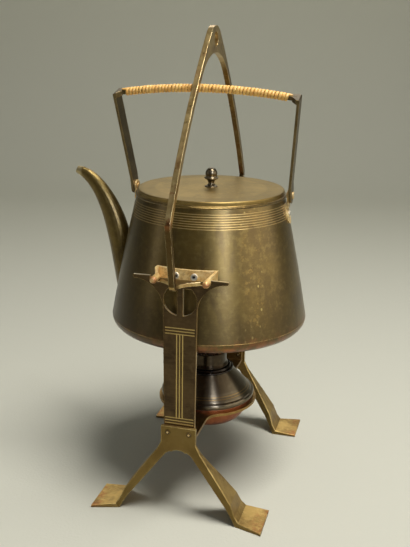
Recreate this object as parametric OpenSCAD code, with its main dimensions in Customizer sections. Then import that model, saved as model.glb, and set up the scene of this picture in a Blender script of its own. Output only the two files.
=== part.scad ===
// Spirit kettle on its stand: a conical kettle hung on two riveted side brackets in a two-post stand,
// with a fixed carrying bail, a swing handle wound with cane, a lift-off lid and a spirit burner.
// The kettle axis is vertical, the spout points to -X, and one post stands in front (-Y), one behind (+Y).
// The part rests on z = 0 and is centred in X and Y on its own box.

/* [Kettle body] */
// Greatest radius of the kettle
kettle_r = 90; // [80:0.5:91]
// Height of the posts' seats above the kettle's underside
kettle_hang = 64; // [60:0.5:66]
// Height of the kettle from its underside to the top of its wall
kettle_h = 122.9; // [117:0.1:124]
// Outer radius of the wall at its top
kettle_top_r = 66.2; // [60:0.1:70]
// Swell of the wall between its ends
kettle_bow = 0.8; // [0:0.1:3]
// Radius of the rounded corner round the underside
kettle_corner_r = 10; // [5:0.5:16]
// Thickness of the kettle wall
kettle_wall = 1.2; // [0.8:0.1:2]
// Distance from the flat base to the start of the rounded corner
base_edge = 2; // [1:0.5:20]
// Width of the lid seat inside the wall
seat_w = 4; // [2:0.1:9]
// Thickness of the lid seat
seat_t = 1.3; // [0.8:0.1:2]
// Radius of the rolled bead round the rim
rim_bead_r = 1.1; // [0.6:0.1:1.2]

/* [Engraved rings] */
// Number of engraved rings below the rim
ring_count = 7; // [1:1:9]
// Distance from ring to ring
ring_pitch = 2; // [1.5:0.1:2.5]
// Depth of the topmost ring below the top of the wall
ring_top_d = 6.6; // [6:0.1:12]
// Width of an engraved ring
ring_w = 1; // [0.5:0.1:1.2]
// Depth of an engraved ring
ring_depth = 0.35; // [0.1:0.05:0.5]

/* [Spout] */
// Distance from the kettle axis to the end of the spout
spout_reach = 130; // [122:1:135]
// Height of the spout's upper lip above the top of the kettle wall
spout_lip_up = 16; // [9:0.1:19]
// Depth of the mouth from its upper lip to its lower lip
spout_mouth_h = 6.7; // [5:0.1:9]
// Half width of the spout at its mouth
spout_mouth_w = 3.6; // [3:0.1:5]
// Half width of the spout at its root
spout_root_w = 17; // [14:0.5:20]
// Height of the top of the spout's root above the kettle's underside
spout_root_top_h = 67; // [62:1:74]
// Height of the bottom of the spout's root above the kettle's underside
spout_root_low_h = 10; // [8:1:16]
// Thickness of the spout's wall
spout_wall = 1.2; // [0.8:0.1:1.5]
// Radius of the opening from the kettle into the spout
spout_port_r = 8; // [5:0.5:9]
// Height of the opening from the kettle into the spout above the kettle's underside
spout_port_h = 52; // [47:1:57]

/* [Lid] */
// Distance that the lid's edge stays inside the top of the wall
lid_inset = 0.4; // [0.2:0.1:2]
// Height of the lid's edge
lid_edge_h = 3.6; // [2.5:0.1:5]
// Rise of the lid from its edge to its middle
lid_rise = 0.6; // [0:0.1:3]
// Thickness of the lid's sheet
lid_wall = 1.2; // [0.8:0.1:2]
// Depth of the collar below the lid
lid_collar_h = 8; // [5:0.5:14]
// Gap between the lid's collar and its seat
lid_gap = 0.4; // [0.2:0.1:1]
// Radius of the acorn on the finial
finial_r = 5; // [4:0.1:6]
// Height of the acorn above its cup
finial_acorn_h = 8.4; // [6:0.1:10]
// Radius of the cup's rim
finial_cup_r = 6.4; // [5.5:0.1:8]
// Height of the cup's rim above the lid
finial_cup_z = 9; // [8:0.1:11]
// Radius of the finial's neck
finial_neck_r = 2.8; // [2:0.1:3.5]
// Radius of the finial's foot
finial_foot_r = 5.8; // [5:0.1:7]
// Radius of the stud that holds the finial
stud_r = 1.5; // [1:0.1:2]

/* [Swing handle] */
// Lean of the handle towards the front, in degrees from upright
handle_lean = 16; // [0:1:20]
// Height of the handle's hinge pins above the top of the wall
hinge_up = 1.1; // [0:0.1:3]
// Distance from the top of the wall to the inner face of the handle's strap at the hinge
strap_off = 5.1; // [5:0.1:8]
// Thickness of the handle's strap
strap_t = 2.3; // [1.8:0.1:3]
// Width of the handle's strap
strap_w = 14; // [10:0.5:15]
// Distance that the handle's corner stands outside the strap's inner face at the hinge
handle_splay = 9.4; // [8:0.1:13]
// Height of the handle's corners above the hinge
handle_corner_h = 89.4; // [84:0.1:92]
// Rise of the grip from its ends to its middle
grip_rise = 7; // [4.5:0.1:8]
// Drop from the handle's corners to the ends of the grip
grip_drop = 1.8; // [0.8:0.1:3]
// Radius of the rod inside the grip
grip_rod_r = 2.2; // [1.8:0.1:2.6]
// Length of the shoulder from the handle's corner to the end of the grip
shoulder_l = 6.7; // [5:0.1:10]
// Radius of the hinge pins
hinge_pin_r = 1.6; // [1.2:0.1:2]
// Radius of the heads of the hinge pins
hinge_head_r = 3.2; // [2.5:0.1:4]
// Thickness of the heads of the hinge pins
hinge_head_t = 1; // [0.6:0.1:1.5]

/* [Cane winding] */
// Number of turns of cane round the grip
cane_turns = 24; // [8:1:24]
// Width of the cane strip
cane_w = 5; // [3:0.1:5]
// Thickness of the cane strip
cane_t = 1.4; // [0.8:0.1:1.6]
// Rings of points in each turn
cane_rings = 24; // [16:1:24]

/* [Handle lugs] */
// Width of the lug's leaf
lug_w = 14; // [10:0.5:18]
// Depth of the lug's lower tip below the top of the wall
lug_low_d = 23.9; // [21:0.1:27]
// Depth below the top of the wall where the leaf gives way to the ear
lug_neck_d = 6.9; // [5:0.1:9]
// Radius of the ear round the hinge pin
ear_r = 5.2; // [4:0.1:6]
// Thickness of the lug
lug_t = 1.6; // [1:0.1:2]
// Depth of the lug's rivet below the top of the wall
lug_rivet_d = 15.4; // [13:0.1:18]

/* [Side brackets] */
// Half width of the bracket's plate
bracket_half = 26.5; // [25.5:0.5:28]
// Height of the bracket's plate
bracket_h = 9; // [8:0.1:10]
// Depth of the bracket's lower edge below the posts' seats
bracket_drop = 1.2; // [1:0.1:2]
// Thickness of the bracket
bracket_t = 2.2; // [1.6:0.1:2.6]
// Distance of the rest pins from the middle of the kettle
pin_x = 22.2; // [21.5:0.1:23]
// Radius of the rest pins
pin_r = 2.9; // [2.2:0.1:2.9]
// Radius of the knobs at the ends of the rest pins
knob_r = 3.1; // [3:0.1:3.4]
// Distance of the knobs' middles from the outer face of a post
knob_out = 2; // [1.5:0.1:9.5]
// Distance of the bracket's rivets from the middle
bracket_rivet_x = 7.7; // [5:0.1:12]
// Height of the bracket's rivets above its lower edge
bracket_rivet_up = 3.6; // [3:0.1:4.2]

/* [Posts] */
// Distance from the kettle axis to the inner face of a post
post_y = 92; // [91.5:0.1:94]
// Thickness of a post
post_t = 2.5; // [2:0.1:3]
// Half width of a post near its foot
post_half_low = 13.5; // [12:0.1:14]
// Half width of a post below its head
post_half_top = 14.6; // [14.1:0.1:16]
// Height of a post's lower end
post_low_z = 70; // [68:0.5:72]
// Height of the seat between the horns
post_seat_z = 212; // [205:0.5:225]
// Half length of the horns
horn_x = 40; // [34:0.5:44]
// Height of the top of the horns above the seat
horn_rise = 5; // [3:0.1:7]
// Thickness of the horns at their tips
horn_t = 3; // [2:0.1:4]
// Radius of the curve below a horn
horn_curve_r = 25.4; // [22:0.1:28]
// Radius of the notches that hold the rest pins
notch_r = 3.6; // [3.5:0.1:3.8]
// Depth of the bottom of the notches below the seat
notch_drop = 1; // [0:0.1:2]
// Half width of the bar between the leaf-shaped openings
leaf_bar = 2.6; // [2:0.1:4]
// Radius of the leaf-shaped openings
leaf_r = 13.3; // [11:0.1:14]
// Depth of the middle of the leaf-shaped openings below the seat
leaf_drop = 14.5; // [13:0.1:17]
// Width of an engraved line
line_w = 0.8; // [0.4:0.1:1.2]
// Depth of an engraved line
line_depth = 0.3; // [0.1:0.05:0.5]
// Distance from line to line
line_pitch = 2.6; // [2:0.1:3.5]
// Depth of the middle line of the upper group below the seat
line_top_d = 41.3; // [40:0.1:52]
// Height of the middle line of the lower group above the foot's plate
line_low_up = 4.9; // [4:0.1:11]

/* [Feet] */
// Thickness of the foot's plate
foot_t = 3; // [2:0.1:4]
// Height of the top of the foot's plate
foot_top_z = 84; // [82:0.5:84.5]
// Half width of the foot's plate
foot_half = 15.5; // [14:0.1:17]
// Distance from the middle to the bend of a foot
foot_bend_x = 55; // [48:0.5:60]
// Distance from the middle to the tip of a foot
foot_tip_x = 77; // [70:0.5:82]
// Thickness of a foot at its tip
foot_tip_t = 2.2; // [1.5:0.1:3]
// Distance from the kettle axis to the inner edge of a foot
foot_in_y = 72; // [66:0.5:80]
// Distance from the kettle axis to the outer edge of a foot at its bend
foot_bend_y = 103; // [98:0.5:108]
// Distance from the kettle axis to the outer edge of a foot at its tip
foot_tip_y = 110; // [104:0.5:116]
// Distance of the stand's rivets from the middle
stand_rivet_x = 9.5; // [7:0.1:11]
// Height of the stand's rivets
stand_rivet_z = 78.6; // [78:0.1:80]

/* [Bail] */
// Height of the top of the bail above its bend
bail_rise = 144.7; // [136:0.1:151]
// Thickness of the bail across its plane
bail_t = 4.6; // [4:0.1:6]
// Width of the bail's legs in its plane
bail_w = 5.5; // [5:0.1:5.8]
// Distance that the bend stands outside the lower end of a leg
bail_splay = 12.5; // [12:0.5:17]
// Height of the bend above the posts' seats
bail_bend_up = 57; // [55:1:64]
// Distance from a post's outer face to the outer face of a leg at its lower end
bail_low_out = 22.5; // [20.5:0.5:27.5]
// Radius of the bow of the upper legs
bail_bow_r = 600; // [500:10:620]
// Radius of the round top
bail_crown_r = 22; // [20:0.5:25]
// Half width of the round top, where the legs begin
bail_crown_y = 14.6; // [13:0.1:16]
// Depth of the top of the opening between the legs below the top of the bail
bail_arch_d = 22.4; // [21.7:0.1:24.7]
// Radius of the arch at the top of the opening
bail_arch_r = 60; // [50:1:70]
// Depth of the middle of the hanging eye below the top of the bail
eye_d = 11.5; // [10:0.1:13]
// Radius of the hanging eye
eye_r = 6.5; // [4:0.1:7]
// Thickness of the bail's splayed foot
bail_foot_t = 3; // [2:0.1:4]
// Half width of the bail's splayed foot where it meets the post
bail_foot_half = 17.3; // [14:0.1:17.5]

/* [Burner] */
// Height of the underside of the burner's strap
strap_z = 70.6; // [70:0.1:72]
// Thickness of the burner's strap
ring_t = 2.4; // [2:0.1:3]
// Outer radius of the strap's ring
ring_out_r = 46.5; // [44:0.5:50]
// Inner radius of the strap's ring
ring_in_r = 38.5; // [38.4:0.1:40]
// Half width of the burner's strap
ring_half = 13.2; // [10:0.1:13.4]
// Radius of the curve from the strap to its ring
ring_fillet_r = 14; // [8:0.5:20]
// Height of the top of the strap's flanges
flange_top_z = 84; // [82:0.5:86]
// Radius of the bowl where it passes the ring
bowl_r = 37.5; // [34:0.1:38]
// Height of the bowl's underside
bowl_low_z = 52.5; // [48:0.5:56]
// Radius of the bowl's rounded lower corner
bowl_corner_r = 12; // [8:0.5:14]
// Radius of the bowl's flange
bowl_flange_r = 43; // [41:0.1:44]
// Thickness of the burner's sheet
burner_wall = 1; // [0.6:0.1:1.4]
// Radius of the shoulder's rounded lip
lip_r = 44.4; // [43.5:0.1:46]
// Height of the shoulder's lip
lip_h = 5.6; // [4:0.1:7]
// Radius of the shoulder inside its lip
shoulder_r = 41.8; // [40:0.1:42.5]
// Height of the shoulder's top
shoulder_top_z = 101; // [98:0.5:103]
// Swell of the shoulder between its ends
shoulder_bow = 2.2; // [0:0.1:4]
// Radius of the collar
collar_r = 24; // [22:0.1:26]
// Height of the collar
collar_h = 3.8; // [3:0.1:5]
// Radius of the wick tube
wick_tube_r = 12; // [9:0.1:14]
// Height of the wick tube's top
wick_tube_top_z = 114; // [110:0.5:115]
// Height of the wick tube's lower end
wick_tube_low_z = 88; // [80:0.5:95]
// Height of the wick's top
wick_top_z = 116; // [114:0.5:117]
// Radius of the flame sleeve
sleeve_r = 17.5; // [16:0.1:20]
// Radius of the sleeve's rolled foot
sleeve_foot_r = 19.2; // [18:0.1:21]
// Height of the sleeve's top
sleeve_top_z = 118.5; // [115:0.5:120]

/* [Fits] */
// Running gap between a rest pin and its notch
pin_gap = 0.08; // [0.03:0.01:0.1]
// Running gap round a hinge pin
hinge_gap = 0.05; // [0.03:0.01:0.1]
// Gap beside a part that swings or slides on another
side_gap = 0.2; // [0.1:0.05:0.4]
// Gap between the cane winding and the rod inside it
cane_gap = 0.12; // [0.1:0.01:0.2]
// Gap under a part that rests on another
rest_gap = 0.05; // [0.02:0.01:0.1]
// Gap round a rivet in its hole
rivet_gap = 0.02; // [0.01:0.01:0.05]
// Radius of the rivets
rivet_r = 1.5; // [1:0.1:1.8]
// Radius of the rivets' heads
rivet_head_r = 2.9; // [2:0.1:3.5]
// Height of the rivets' heads
rivet_head_h = 0.9; // [0.5:0.1:1.4]

/* [Hidden] */

brass = [0.72, 0.58, 0.30];
aged_brass = [0.45, 0.38, 0.20];
dark_bronze = [0.28, 0.22, 0.14];
burner_brown = [0.33, 0.28, 0.20];
cane = [0.85, 0.62, 0.30];
steel = [0.75, 0.74, 0.70];
cotton = [0.86, 0.83, 0.75];

eps = 0.01;
big = 400;
round_fn = 96;
small_fn = 32;

origin_x = (spout_reach - kettle_r) / 2;
kettle_bottom_z = post_seat_z - kettle_hang;
kettle_top_z = kettle_bottom_z + kettle_h;
corner_z = kettle_bottom_z + kettle_corner_r;
corner_r = kettle_r - kettle_corner_r;
base_r = corner_r - base_edge;
seat_r = kettle_top_r - kettle_wall - seat_w;
ring_top_z = kettle_top_z - ring_top_d;
spout_lip_z = kettle_top_z + spout_lip_up;
spout_root_top_z = kettle_bottom_z + spout_root_top_h;
spout_root_low_z = kettle_bottom_z + spout_root_low_h;
spout_port_z = kettle_bottom_z + spout_port_h;
lid_r = kettle_top_r - lid_inset;
hinge_z = kettle_top_z + hinge_up;
strap_in_x = kettle_top_r + strap_off;
handle_corner_x = strap_in_x + handle_splay;
grip_end_h = handle_corner_h - grip_drop;
grip_mid_h = grip_end_h + grip_rise;
grip_half = handle_corner_x - shoulder_l;
lug_low_z = kettle_top_z - lug_low_d;
lug_neck_z = kettle_top_z - lug_neck_d;
lug_rivet_z = kettle_top_z - lug_rivet_d;
bracket_low_z = post_seat_z - bracket_drop;
bracket_rivet_z = bracket_low_z + bracket_rivet_up;
horn_z = post_seat_z + horn_rise;
notch_z = post_seat_z - notch_drop;
leaf_z = post_seat_z - leaf_drop;
line_top_z = post_seat_z - line_top_d;
line_low_z = foot_top_z + line_low_up;
notch_axis_z = notch_z + notch_r;
pin_z = notch_z + pin_r + pin_gap;
post_out_y = post_y + post_t;
foot_out_y = post_out_y + foot_t;
knob_y = post_out_y + knob_out;
bail_low_y = post_out_y + bail_low_out;
bail_bend_y = bail_low_y + bail_splay;
bail_bend_z = post_seat_z + bail_bend_up;
bail_top_z = bail_bend_z + bail_rise;
bail_arch_z = bail_top_z - bail_arch_d;
eye_z = bail_top_z - eye_d;
strap_top_z = strap_z + ring_t;
bowl_seat_z = strap_top_z + rest_gap;
shoulder_low_z = bowl_seat_z + 2 * burner_wall;
collar_top_z = shoulder_top_z + collar_h;
lid_low_z = kettle_top_z + rest_gap;
lid_top_z = lid_low_z + lid_edge_h;
ear_x = strap_in_x - side_gap - lug_t;
wall_steps = 12;

// Point of a cubic Bezier curve
function bezier(p, t) =
    pow(1 - t, 3) * p[0] + 3 * t * pow(1 - t, 2) * p[1] + 3 * t * t * (1 - t) * p[2] + pow(t, 3) * p[3];

// Points of an arc about [x, y]
function arc(x, y, r, a0, a1, n) =
    [for (i = [0 : n]) [x + r * cos(a0 + (a1 - a0) * i / n), y + r * sin(a0 + (a1 - a0) * i / n)]];

// Points that round the corner b between a and c with radius r
function rounded(a, b, c, r, n = 6) =
    let (
        u = (a - b) / norm(a - b),
        v = (c - b) / norm(c - b),
        half = acos(u * v) / 2,
        m = b + (u + v) / norm(u + v) * r / sin(half),
        p = b + u * r / tan(half),
        q = b + v * r / tan(half)
    )
    [for (i = [0 : n])
        let (w = p * (1 - i / n) + q * (i / n) - m)
        m + w / norm(w) * r];

function mirror_x(points) = [for (i = [len(points) - 1 : -1 : 0]) [-points[i][0], points[i][1]]];

// Outer radius of the kettle wall at height z
function wall_r(z) =
    let (t = (z - corner_z) / (kettle_top_z - corner_z))
    kettle_r + (kettle_top_r - kettle_r) * t + 4 * kettle_bow * t * (1 - t);

// Profile of the wall above the rounded corner, g outside its outer face, from z0 to z1
function wall_side(g, z0, z1) = [for (i = [0 : wall_steps])
    let (z = z0 + (z1 - z0) * i / wall_steps)
    [wall_r(z) + g, z]];

// Profile of the rounded corner, g outside its outer face, from angle a0 to angle a1
function corner_side(g, a0, a1) = arc(corner_r, corner_z, kettle_corner_r + g, a0, a1, 8);

// Places a module in the part's own frame
module placed() {
    translate([origin_x, 0, 0]) children();
}

// Turns a front piece into the back one
module at_back(back) {
    rotate([0, 0, back ? 180 : 0]) children();
}

// Solid of revolution of the kettle's outside, grown outwards by g
module kettle_outside(g = 0) {
    side = wall_side(g, corner_z, kettle_top_z);
    rotate_extrude($fn = round_fn)
        polygon(concat(
            [[0, kettle_bottom_z - g]],
            corner_side(g, -90, 0),
            [for (i = [1 : wall_steps]) side[i]],
            [[0, kettle_top_z]]));
}

// Radial rivet through the kettle wall and a plate of thickness t on it
module wall_rivet(azimuth, z, t) {
    r_out = wall_r(z) + t;
    rotate([0, 0, azimuth]) {
        difference() {
            translate([r_out - 1, 0, z])
                rotate([0, 90, 0])
                    cylinder(r = rivet_head_r, h = rivet_head_h + 1, $fn = small_fn);
            rotate([0, 0, -azimuth]) kettle_outside(t);
            translate([r_out + rivet_head_h - 0.6, 0, z])
                rotate([0, 90, 0]) cylinder(r = rivet_r * 0.8, h = 2, $fn = small_fn);
        }
        translate([r_out - t - kettle_wall - 1.2, 0, z])
            rotate([0, 90, 0]) cylinder(r = rivet_r, h = t + kettle_wall + 1.4, $fn = small_fn);
        translate([r_out - t - kettle_wall - 1.9, 0, z])
            rotate([0, 90, 0]) cylinder(r = rivet_head_r - 0.4, h = 0.9, $fn = small_fn);
    }
}

// Hole for a radial rivet
module wall_rivet_hole(azimuth, z) {
    rotate([0, 0, azimuth])
        translate([0, 0, z])
            rotate([0, 90, 0]) cylinder(r = rivet_r + rivet_gap, h = big, $fn = small_fn);
}

function bracket_rivet_turn() = asin(bracket_rivet_x / wall_r(bracket_rivet_z));

module all_wall_rivet_holes() {
    for (side = [0, 180]) {
        wall_rivet_hole(side, lug_rivet_z);
        for (s = [-1, 1]) wall_rivet_hole(side + 90 + s * bracket_rivet_turn(), bracket_rivet_z);
    }
}

// The kettle's body: a bowed conical wall with a rolled rim and engraved rings
module kettle_body() {
    placed() color(aged_brass) difference() {
        union() {
            rotate_extrude($fn = round_fn)
                polygon(concat(
                    wall_side(0, corner_z, kettle_top_z),
                    wall_side(-kettle_wall, kettle_top_z, corner_z)));
            translate([0, 0, kettle_top_z - rim_bead_r - 0.2])
                rotate_extrude($fn = round_fn)
                    translate([kettle_top_r + rim_bead_r * 0.4, 0]) circle(r = rim_bead_r, $fn = 24);
        }
        for (i = [0 : ring_count - 1]) engraved_ring(ring_top_z - i * ring_pitch);
        translate([-kettle_r, 0, spout_port_z])
            rotate([0, 90, 0]) cylinder(r = spout_port_r, h = kettle_r / 2, $fn = small_fn);
        all_wall_rivet_holes();
    }
}

// The kettle's foot: the rounded corner from the wall to the base
module kettle_foot() {
    placed() color(aged_brass)
        rotate_extrude($fn = round_fn)
            polygon(concat(
                [[base_r, kettle_bottom_z]],
                corner_side(0, -90, 0),
                corner_side(-kettle_wall, 0, -90),
                [[base_r, kettle_bottom_z + kettle_wall]]));
}

// The kettle's base: a flat disc let into the rounded foot
module kettle_base() {
    placed() color(aged_brass)
        translate([0, 0, kettle_bottom_z]) cylinder(r = base_r, h = kettle_wall, $fn = round_fn);
}

// The lid's seat: a flat ring inside the rim
module lid_seat() {
    placed() color(aged_brass) translate([0, 0, kettle_top_z - seat_t]) difference() {
        cylinder(r = kettle_top_r - kettle_wall, h = seat_t, $fn = round_fn);
        translate([0, 0, -1]) cylinder(r = seat_r, h = seat_t + 2, $fn = round_fn);
    }
}

// One engraved ring: a V-shaped groove round the wall
module engraved_ring(z) {
    r = wall_r(z);
    rotate_extrude($fn = round_fn)
        polygon([[r - ring_depth, z], [r + 1, z - ring_w / 2 - 0.5], [r + 1, z + ring_w / 2 + 0.5]]);
}

// Upper and lower edges of the spout in its own plane
spout_upper = [[-76, spout_root_top_z], [-82, spout_root_top_z + 41],
    [-spout_reach + 21, spout_lip_z + 1.1], [-spout_reach + 2.3, spout_lip_z]];
spout_lower = [[-86, spout_root_low_z], [-97, spout_root_low_z + 49],
    [-spout_reach + 28.5, spout_lip_z - 20.9], [-spout_reach, spout_lip_z - spout_mouth_h]];
spout_rings = 20;
spout_sides = 24;

function spout_half_w(t) = spout_mouth_w + (spout_root_w - spout_mouth_w) * pow(1 - t, 1.3);

// One oval ring of the spout, shrunk by g
function spout_ring(t, g) =
    let (
        u = bezier(spout_upper, t * t),
        l = bezier(spout_lower, t),
        c = (u + l) / 2,
        h = (u - l) / 2,
        k = 1 - g / norm(h),
        w = spout_half_w(t) - g
    )
    [for (j = [0 : spout_sides - 1])
        let (a = -360 * j / spout_sides)
        [c[0] + h[0] * k * cos(a), w * sin(a), c[1] + h[1] * k * cos(a)]];

// Solid of stacked rings, closed at both ends
module ring_solid(rings) {
    n = len(rings);
    m = len(rings[0]);
    points = [for (r = rings) each r];
    sides = [for (i = [0 : n - 2], j = [0 : m - 1])
        let (a = i * m + j, b = i * m + (j + 1) % m)
        each [[a, b, b + m], [a, b + m, a + m]]];
    low = [[for (j = [m - 1 : -1 : 0]) j]];
    high = [[for (j = [0 : m - 1]) (n - 1) * m + j]];
    polyhedron(points = points, faces = concat(low, sides, high), convexity = 6);
}

// The spout: a tapering curved tube, soldered to the wall over its port
module spout() {
    outer = [for (i = [0 : spout_rings]) spout_ring(i / spout_rings, 0)];
    bore = [for (i = [0 : spout_rings]) spout_ring(i / spout_rings, spout_wall)];
    past_root = [for (p = bore[0]) p + [6, 0, -1.5]];
    past_mouth = [for (p = bore[spout_rings]) p + [-3, 0, 1.2]];
    placed() color(aged_brass) difference() {
        ring_solid(outer);
        ring_solid(concat([past_root], bore, [past_mouth]));
        kettle_outside();
    }
}

// Outline of a lug, seen along X, with the hinge pin at [0, hinge_z]
module lug_outline() {
    leaf_mid_z = (lug_low_z + lug_neck_z) / 2;
    half = lug_w / 2;
    right = concat(
        [[0, lug_low_z]],
        arc(0, lug_low_z + half, half, -70, 0, 5),
        [[half, leaf_mid_z + 1], [half * 0.62, lug_neck_z], [ear_r * 0.82, lug_neck_z + 2],
            [ear_r * 0.82, hinge_z - ear_r * 0.57]]);
    union() {
        polygon(concat(right, mirror_x(right)));
        translate([0, hinge_z]) circle(r = ear_r, $fn = small_fn);
    }
}

// A lug: a leaf that follows the wall and an upright ear for the hinge pin
module lug_solid() {
    difference() {
        intersection() {
            rotate([90, 0, 90]) linear_extrude(big) lug_outline();
            union() {
                intersection() {
                    kettle_outside(lug_t);
                    translate([0, -big / 2, lug_low_z - 1]) cube([big, big, lug_neck_z + 2 - lug_low_z]);
                }
                translate([ear_x, -big / 2, lug_neck_z - 3]) cube([lug_t, big, 30]);
            }
        }
        kettle_outside();
        translate([0, 0, hinge_z]) rotate([0, 90, 0])
            cylinder(r = hinge_pin_r + rivet_gap, h = big, $fn = small_fn);
        wall_rivet_hole(0, lug_rivet_z);
    }
}

module lug_handle_side() {
    placed() color(brass) lug_solid();
}

module lug_spout_side() {
    placed() color(brass) rotate([0, 0, 180]) lug_solid();
}

module lug_rivets() {
    placed() color(steel) {
        wall_rivet(0, lug_rivet_z, lug_t);
        wall_rivet(180, lug_rivet_z, lug_t);
    }
}

// Outline of a bracket's arm, seen from above, on the +X side of the front
module arm_plan() {
    root_y = -wall_r(bracket_low_z) + 8;
    half = bracket_t / 2;
    polygon([
        [bracket_half - bracket_t, root_y], [bracket_half, root_y],
        [bracket_half, -wall_r(bracket_low_z)], [pin_x + half, -post_y + 3.5],
        [pin_x - half, -post_y + 3.5], [bracket_half - bracket_t, -wall_r(bracket_low_z)]]);
}

// Outline of a bracket's arm, seen along X
module arm_side() {
    root_y = -wall_r(bracket_low_z) + 8;
    polygon([
        [root_y, bracket_low_z], [-wall_r(bracket_low_z) + 1, bracket_low_z],
        [-post_y + 3.5, pin_z - pin_r], [-post_y + 3.5, pin_z + pin_r],
        [-wall_r(bracket_low_z) + 1, bracket_low_z + bracket_h],
        [root_y, bracket_low_z + bracket_h]]);
}

// A bracket: a plate riveted to the wall, and two arms that end in knobbed rest pins
module bracket_solid() {
    difference() {
        union() {
            intersection() {
                kettle_outside(bracket_t);
                translate([-bracket_half, -big, bracket_low_z])
                    cube([2 * bracket_half, big, bracket_h]);
            }
            for (s = [0, 1]) mirror([s, 0, 0]) {
                intersection() {
                    linear_extrude(big) arm_plan();
                    rotate([90, 0, 90]) linear_extrude(big) arm_side();
                }
                translate([pin_x, -post_y + 5, pin_z])
                    rotate([90, 0, 0])
                        cylinder(r = pin_r, h = knob_y - post_y + 5, $fn = small_fn);
                translate([pin_x, -knob_y, pin_z]) sphere(r = knob_r, $fn = small_fn);
            }
        }
        kettle_outside();
        for (s = [-1, 1]) wall_rivet_hole(-90 + s * bracket_rivet_turn(), bracket_rivet_z);
    }
}

module bracket_front() {
    placed() color(brass) bracket_solid();
}

module bracket_back() {
    placed() color(brass) at_back(true) bracket_solid();
}

module bracket_rivets() {
    placed() color(steel)
        for (side = [-90, 90], s = [-1, 1])
            wall_rivet(side + s * bracket_rivet_turn(), bracket_rivet_z, bracket_t);
}

// The two hinge pins, each with a head inside its ear and one outside the strap
module hinge_pins() {
    head_x = strap_in_x + strap_t + side_gap / 2;
    placed() color(brass)
        for (turn = [0, 180])
            rotate([0, 0, turn]) translate([0, 0, hinge_z]) rotate([0, 90, 0]) {
                translate([0, 0, ear_x - hinge_head_t])
                    cylinder(r = hinge_pin_r + 0.9, h = hinge_head_t, $fn = small_fn);
                translate([0, 0, ear_x - hinge_head_t / 2])
                    cylinder(r = hinge_pin_r, h = head_x - ear_x + hinge_head_t, $fn = small_fn);
                translate([0, 0, head_x])
                    cylinder(r = hinge_head_r, h = hinge_head_t, $fn = small_fn);
            }
}

// Arch of the grip: its radius, its centre and half its angle, above the hinge line
grip_sag = grip_mid_h - grip_end_h;
grip_arch_r = (handle_corner_x * handle_corner_x + grip_sag * grip_sag) / (2 * grip_sag);
grip_arch_z = grip_mid_h - grip_arch_r;
grip_half_turn = asin(grip_half / grip_arch_r);

// Places the handle on its hinge line, leaning to the front
module on_hinge() {
    translate([0, 0, hinge_z]) rotate([handle_lean, 0, 0]) children();
}

// Outline of one strap of the handle, seen along Y, with the hinge at [0, 0]
module strap_outline() {
    out_x = strap_in_x + strap_t;
    slope_z = 10;
    run = norm([handle_corner_x - out_x, handle_corner_h - slope_z]);
    shift_x = strap_t * (handle_corner_h - slope_z) / run;
    inner_top_z = handle_corner_h - 2 * grip_rod_r + 0.6;
    inner_top_x = handle_corner_x - shift_x
        - (handle_corner_x - out_x) * (handle_corner_h - inner_top_z) / (handle_corner_h - slope_z);
    end_in = [grip_half, grip_arch_z + sqrt(grip_arch_r * grip_arch_r - grip_half * grip_half)];
    away = [sin(grip_half_turn), cos(grip_half_turn)];
    end_top = end_in + away * grip_rod_r;
    end_low = end_in - away * grip_rod_r;
    polygon(concat(
        [[strap_in_x, -strap_w / 2], [out_x, -strap_w / 2], [out_x, slope_z]],
        rounded([out_x, slope_z], [handle_corner_x, handle_corner_h], end_top, 1.5),
        [end_top, end_low, [inner_top_x, inner_top_z], [strap_in_x, slope_z]]));
}

// Outline of the handle seen along X: a strap with a round lower end
module strap_side() {
    translate([-strap_w / 2, 0]) square([strap_w, big]);
    circle(r = strap_w / 2, $fn = 48);
}

// Wedges that narrow the strap's shoulder towards the rod, one on each side
module shoulder_cuts() {
    half = strap_w / 2;
    end_half = grip_rod_r + 1;
    x_wide = handle_corner_x - strap_t - 0.8;
    for (s = [-1, 1])
        translate([0, 0, handle_corner_h - 12])
            linear_extrude(30)
                polygon([
                    [grip_half - 5, s * end_half], [grip_half, s * end_half],
                    [x_wide, s * (half + eps)], [x_wide, s * (half + 5)], [grip_half - 5, s * (half + 5)]]);
}

// The handle: two straps, their shoulders and the rod between them
module handle_frame() {
    placed() color(dark_bronze) on_hinge() difference() {
        union() {
            for (s = [0, 1]) mirror([s, 0, 0])
                difference() {
                    intersection() {
                        rotate([90, 0, 0])
                            translate([0, 0, -strap_w / 2]) linear_extrude(strap_w) strap_outline();
                        rotate([90, 0, 90]) linear_extrude(big) strap_side();
                    }
                    shoulder_cuts();
                }
            translate([0, 0, grip_arch_z])
                rotate([90, 0, 0])
                    rotate([0, 0, 90 - grip_half_turn - 0.4])
                        rotate_extrude(angle = 2 * grip_half_turn + 0.8, $fn = 720)
                            translate([grip_arch_r, 0]) circle(r = grip_rod_r, $fn = small_fn);
        }
        for (s = [0, 1]) mirror([s, 0, 0])
            rotate([0, 90, 0]) cylinder(r = hinge_pin_r + hinge_gap, h = big, $fn = small_fn);
    }
}

// Path of the cane, unrolled: [distance round the rod, distance along the grip]
cane_path_r = grip_rod_r + cane_gap + cane_t / 2;
cane_round = 2 * PI * cane_path_r;
cane_turn_r = cane_w / 2 + 0.6;
cane_end = grip_half - rest_gap;
cane_run = cane_end - cane_w - cane_turn_r;
cane_pitch = 2 * cane_run / cane_turns;
cane_climb = atan2(cane_pitch, cane_round);
cane_corner_steps = 6;
cane_straight_steps = 2;
cane_flat = cane_w * 0.4;
cane_lift = (grip_rod_r + cane_gap) * (1 - cos(cane_flat / cane_path_r * 180 / PI));
cane_start = cane_path_start();

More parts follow.
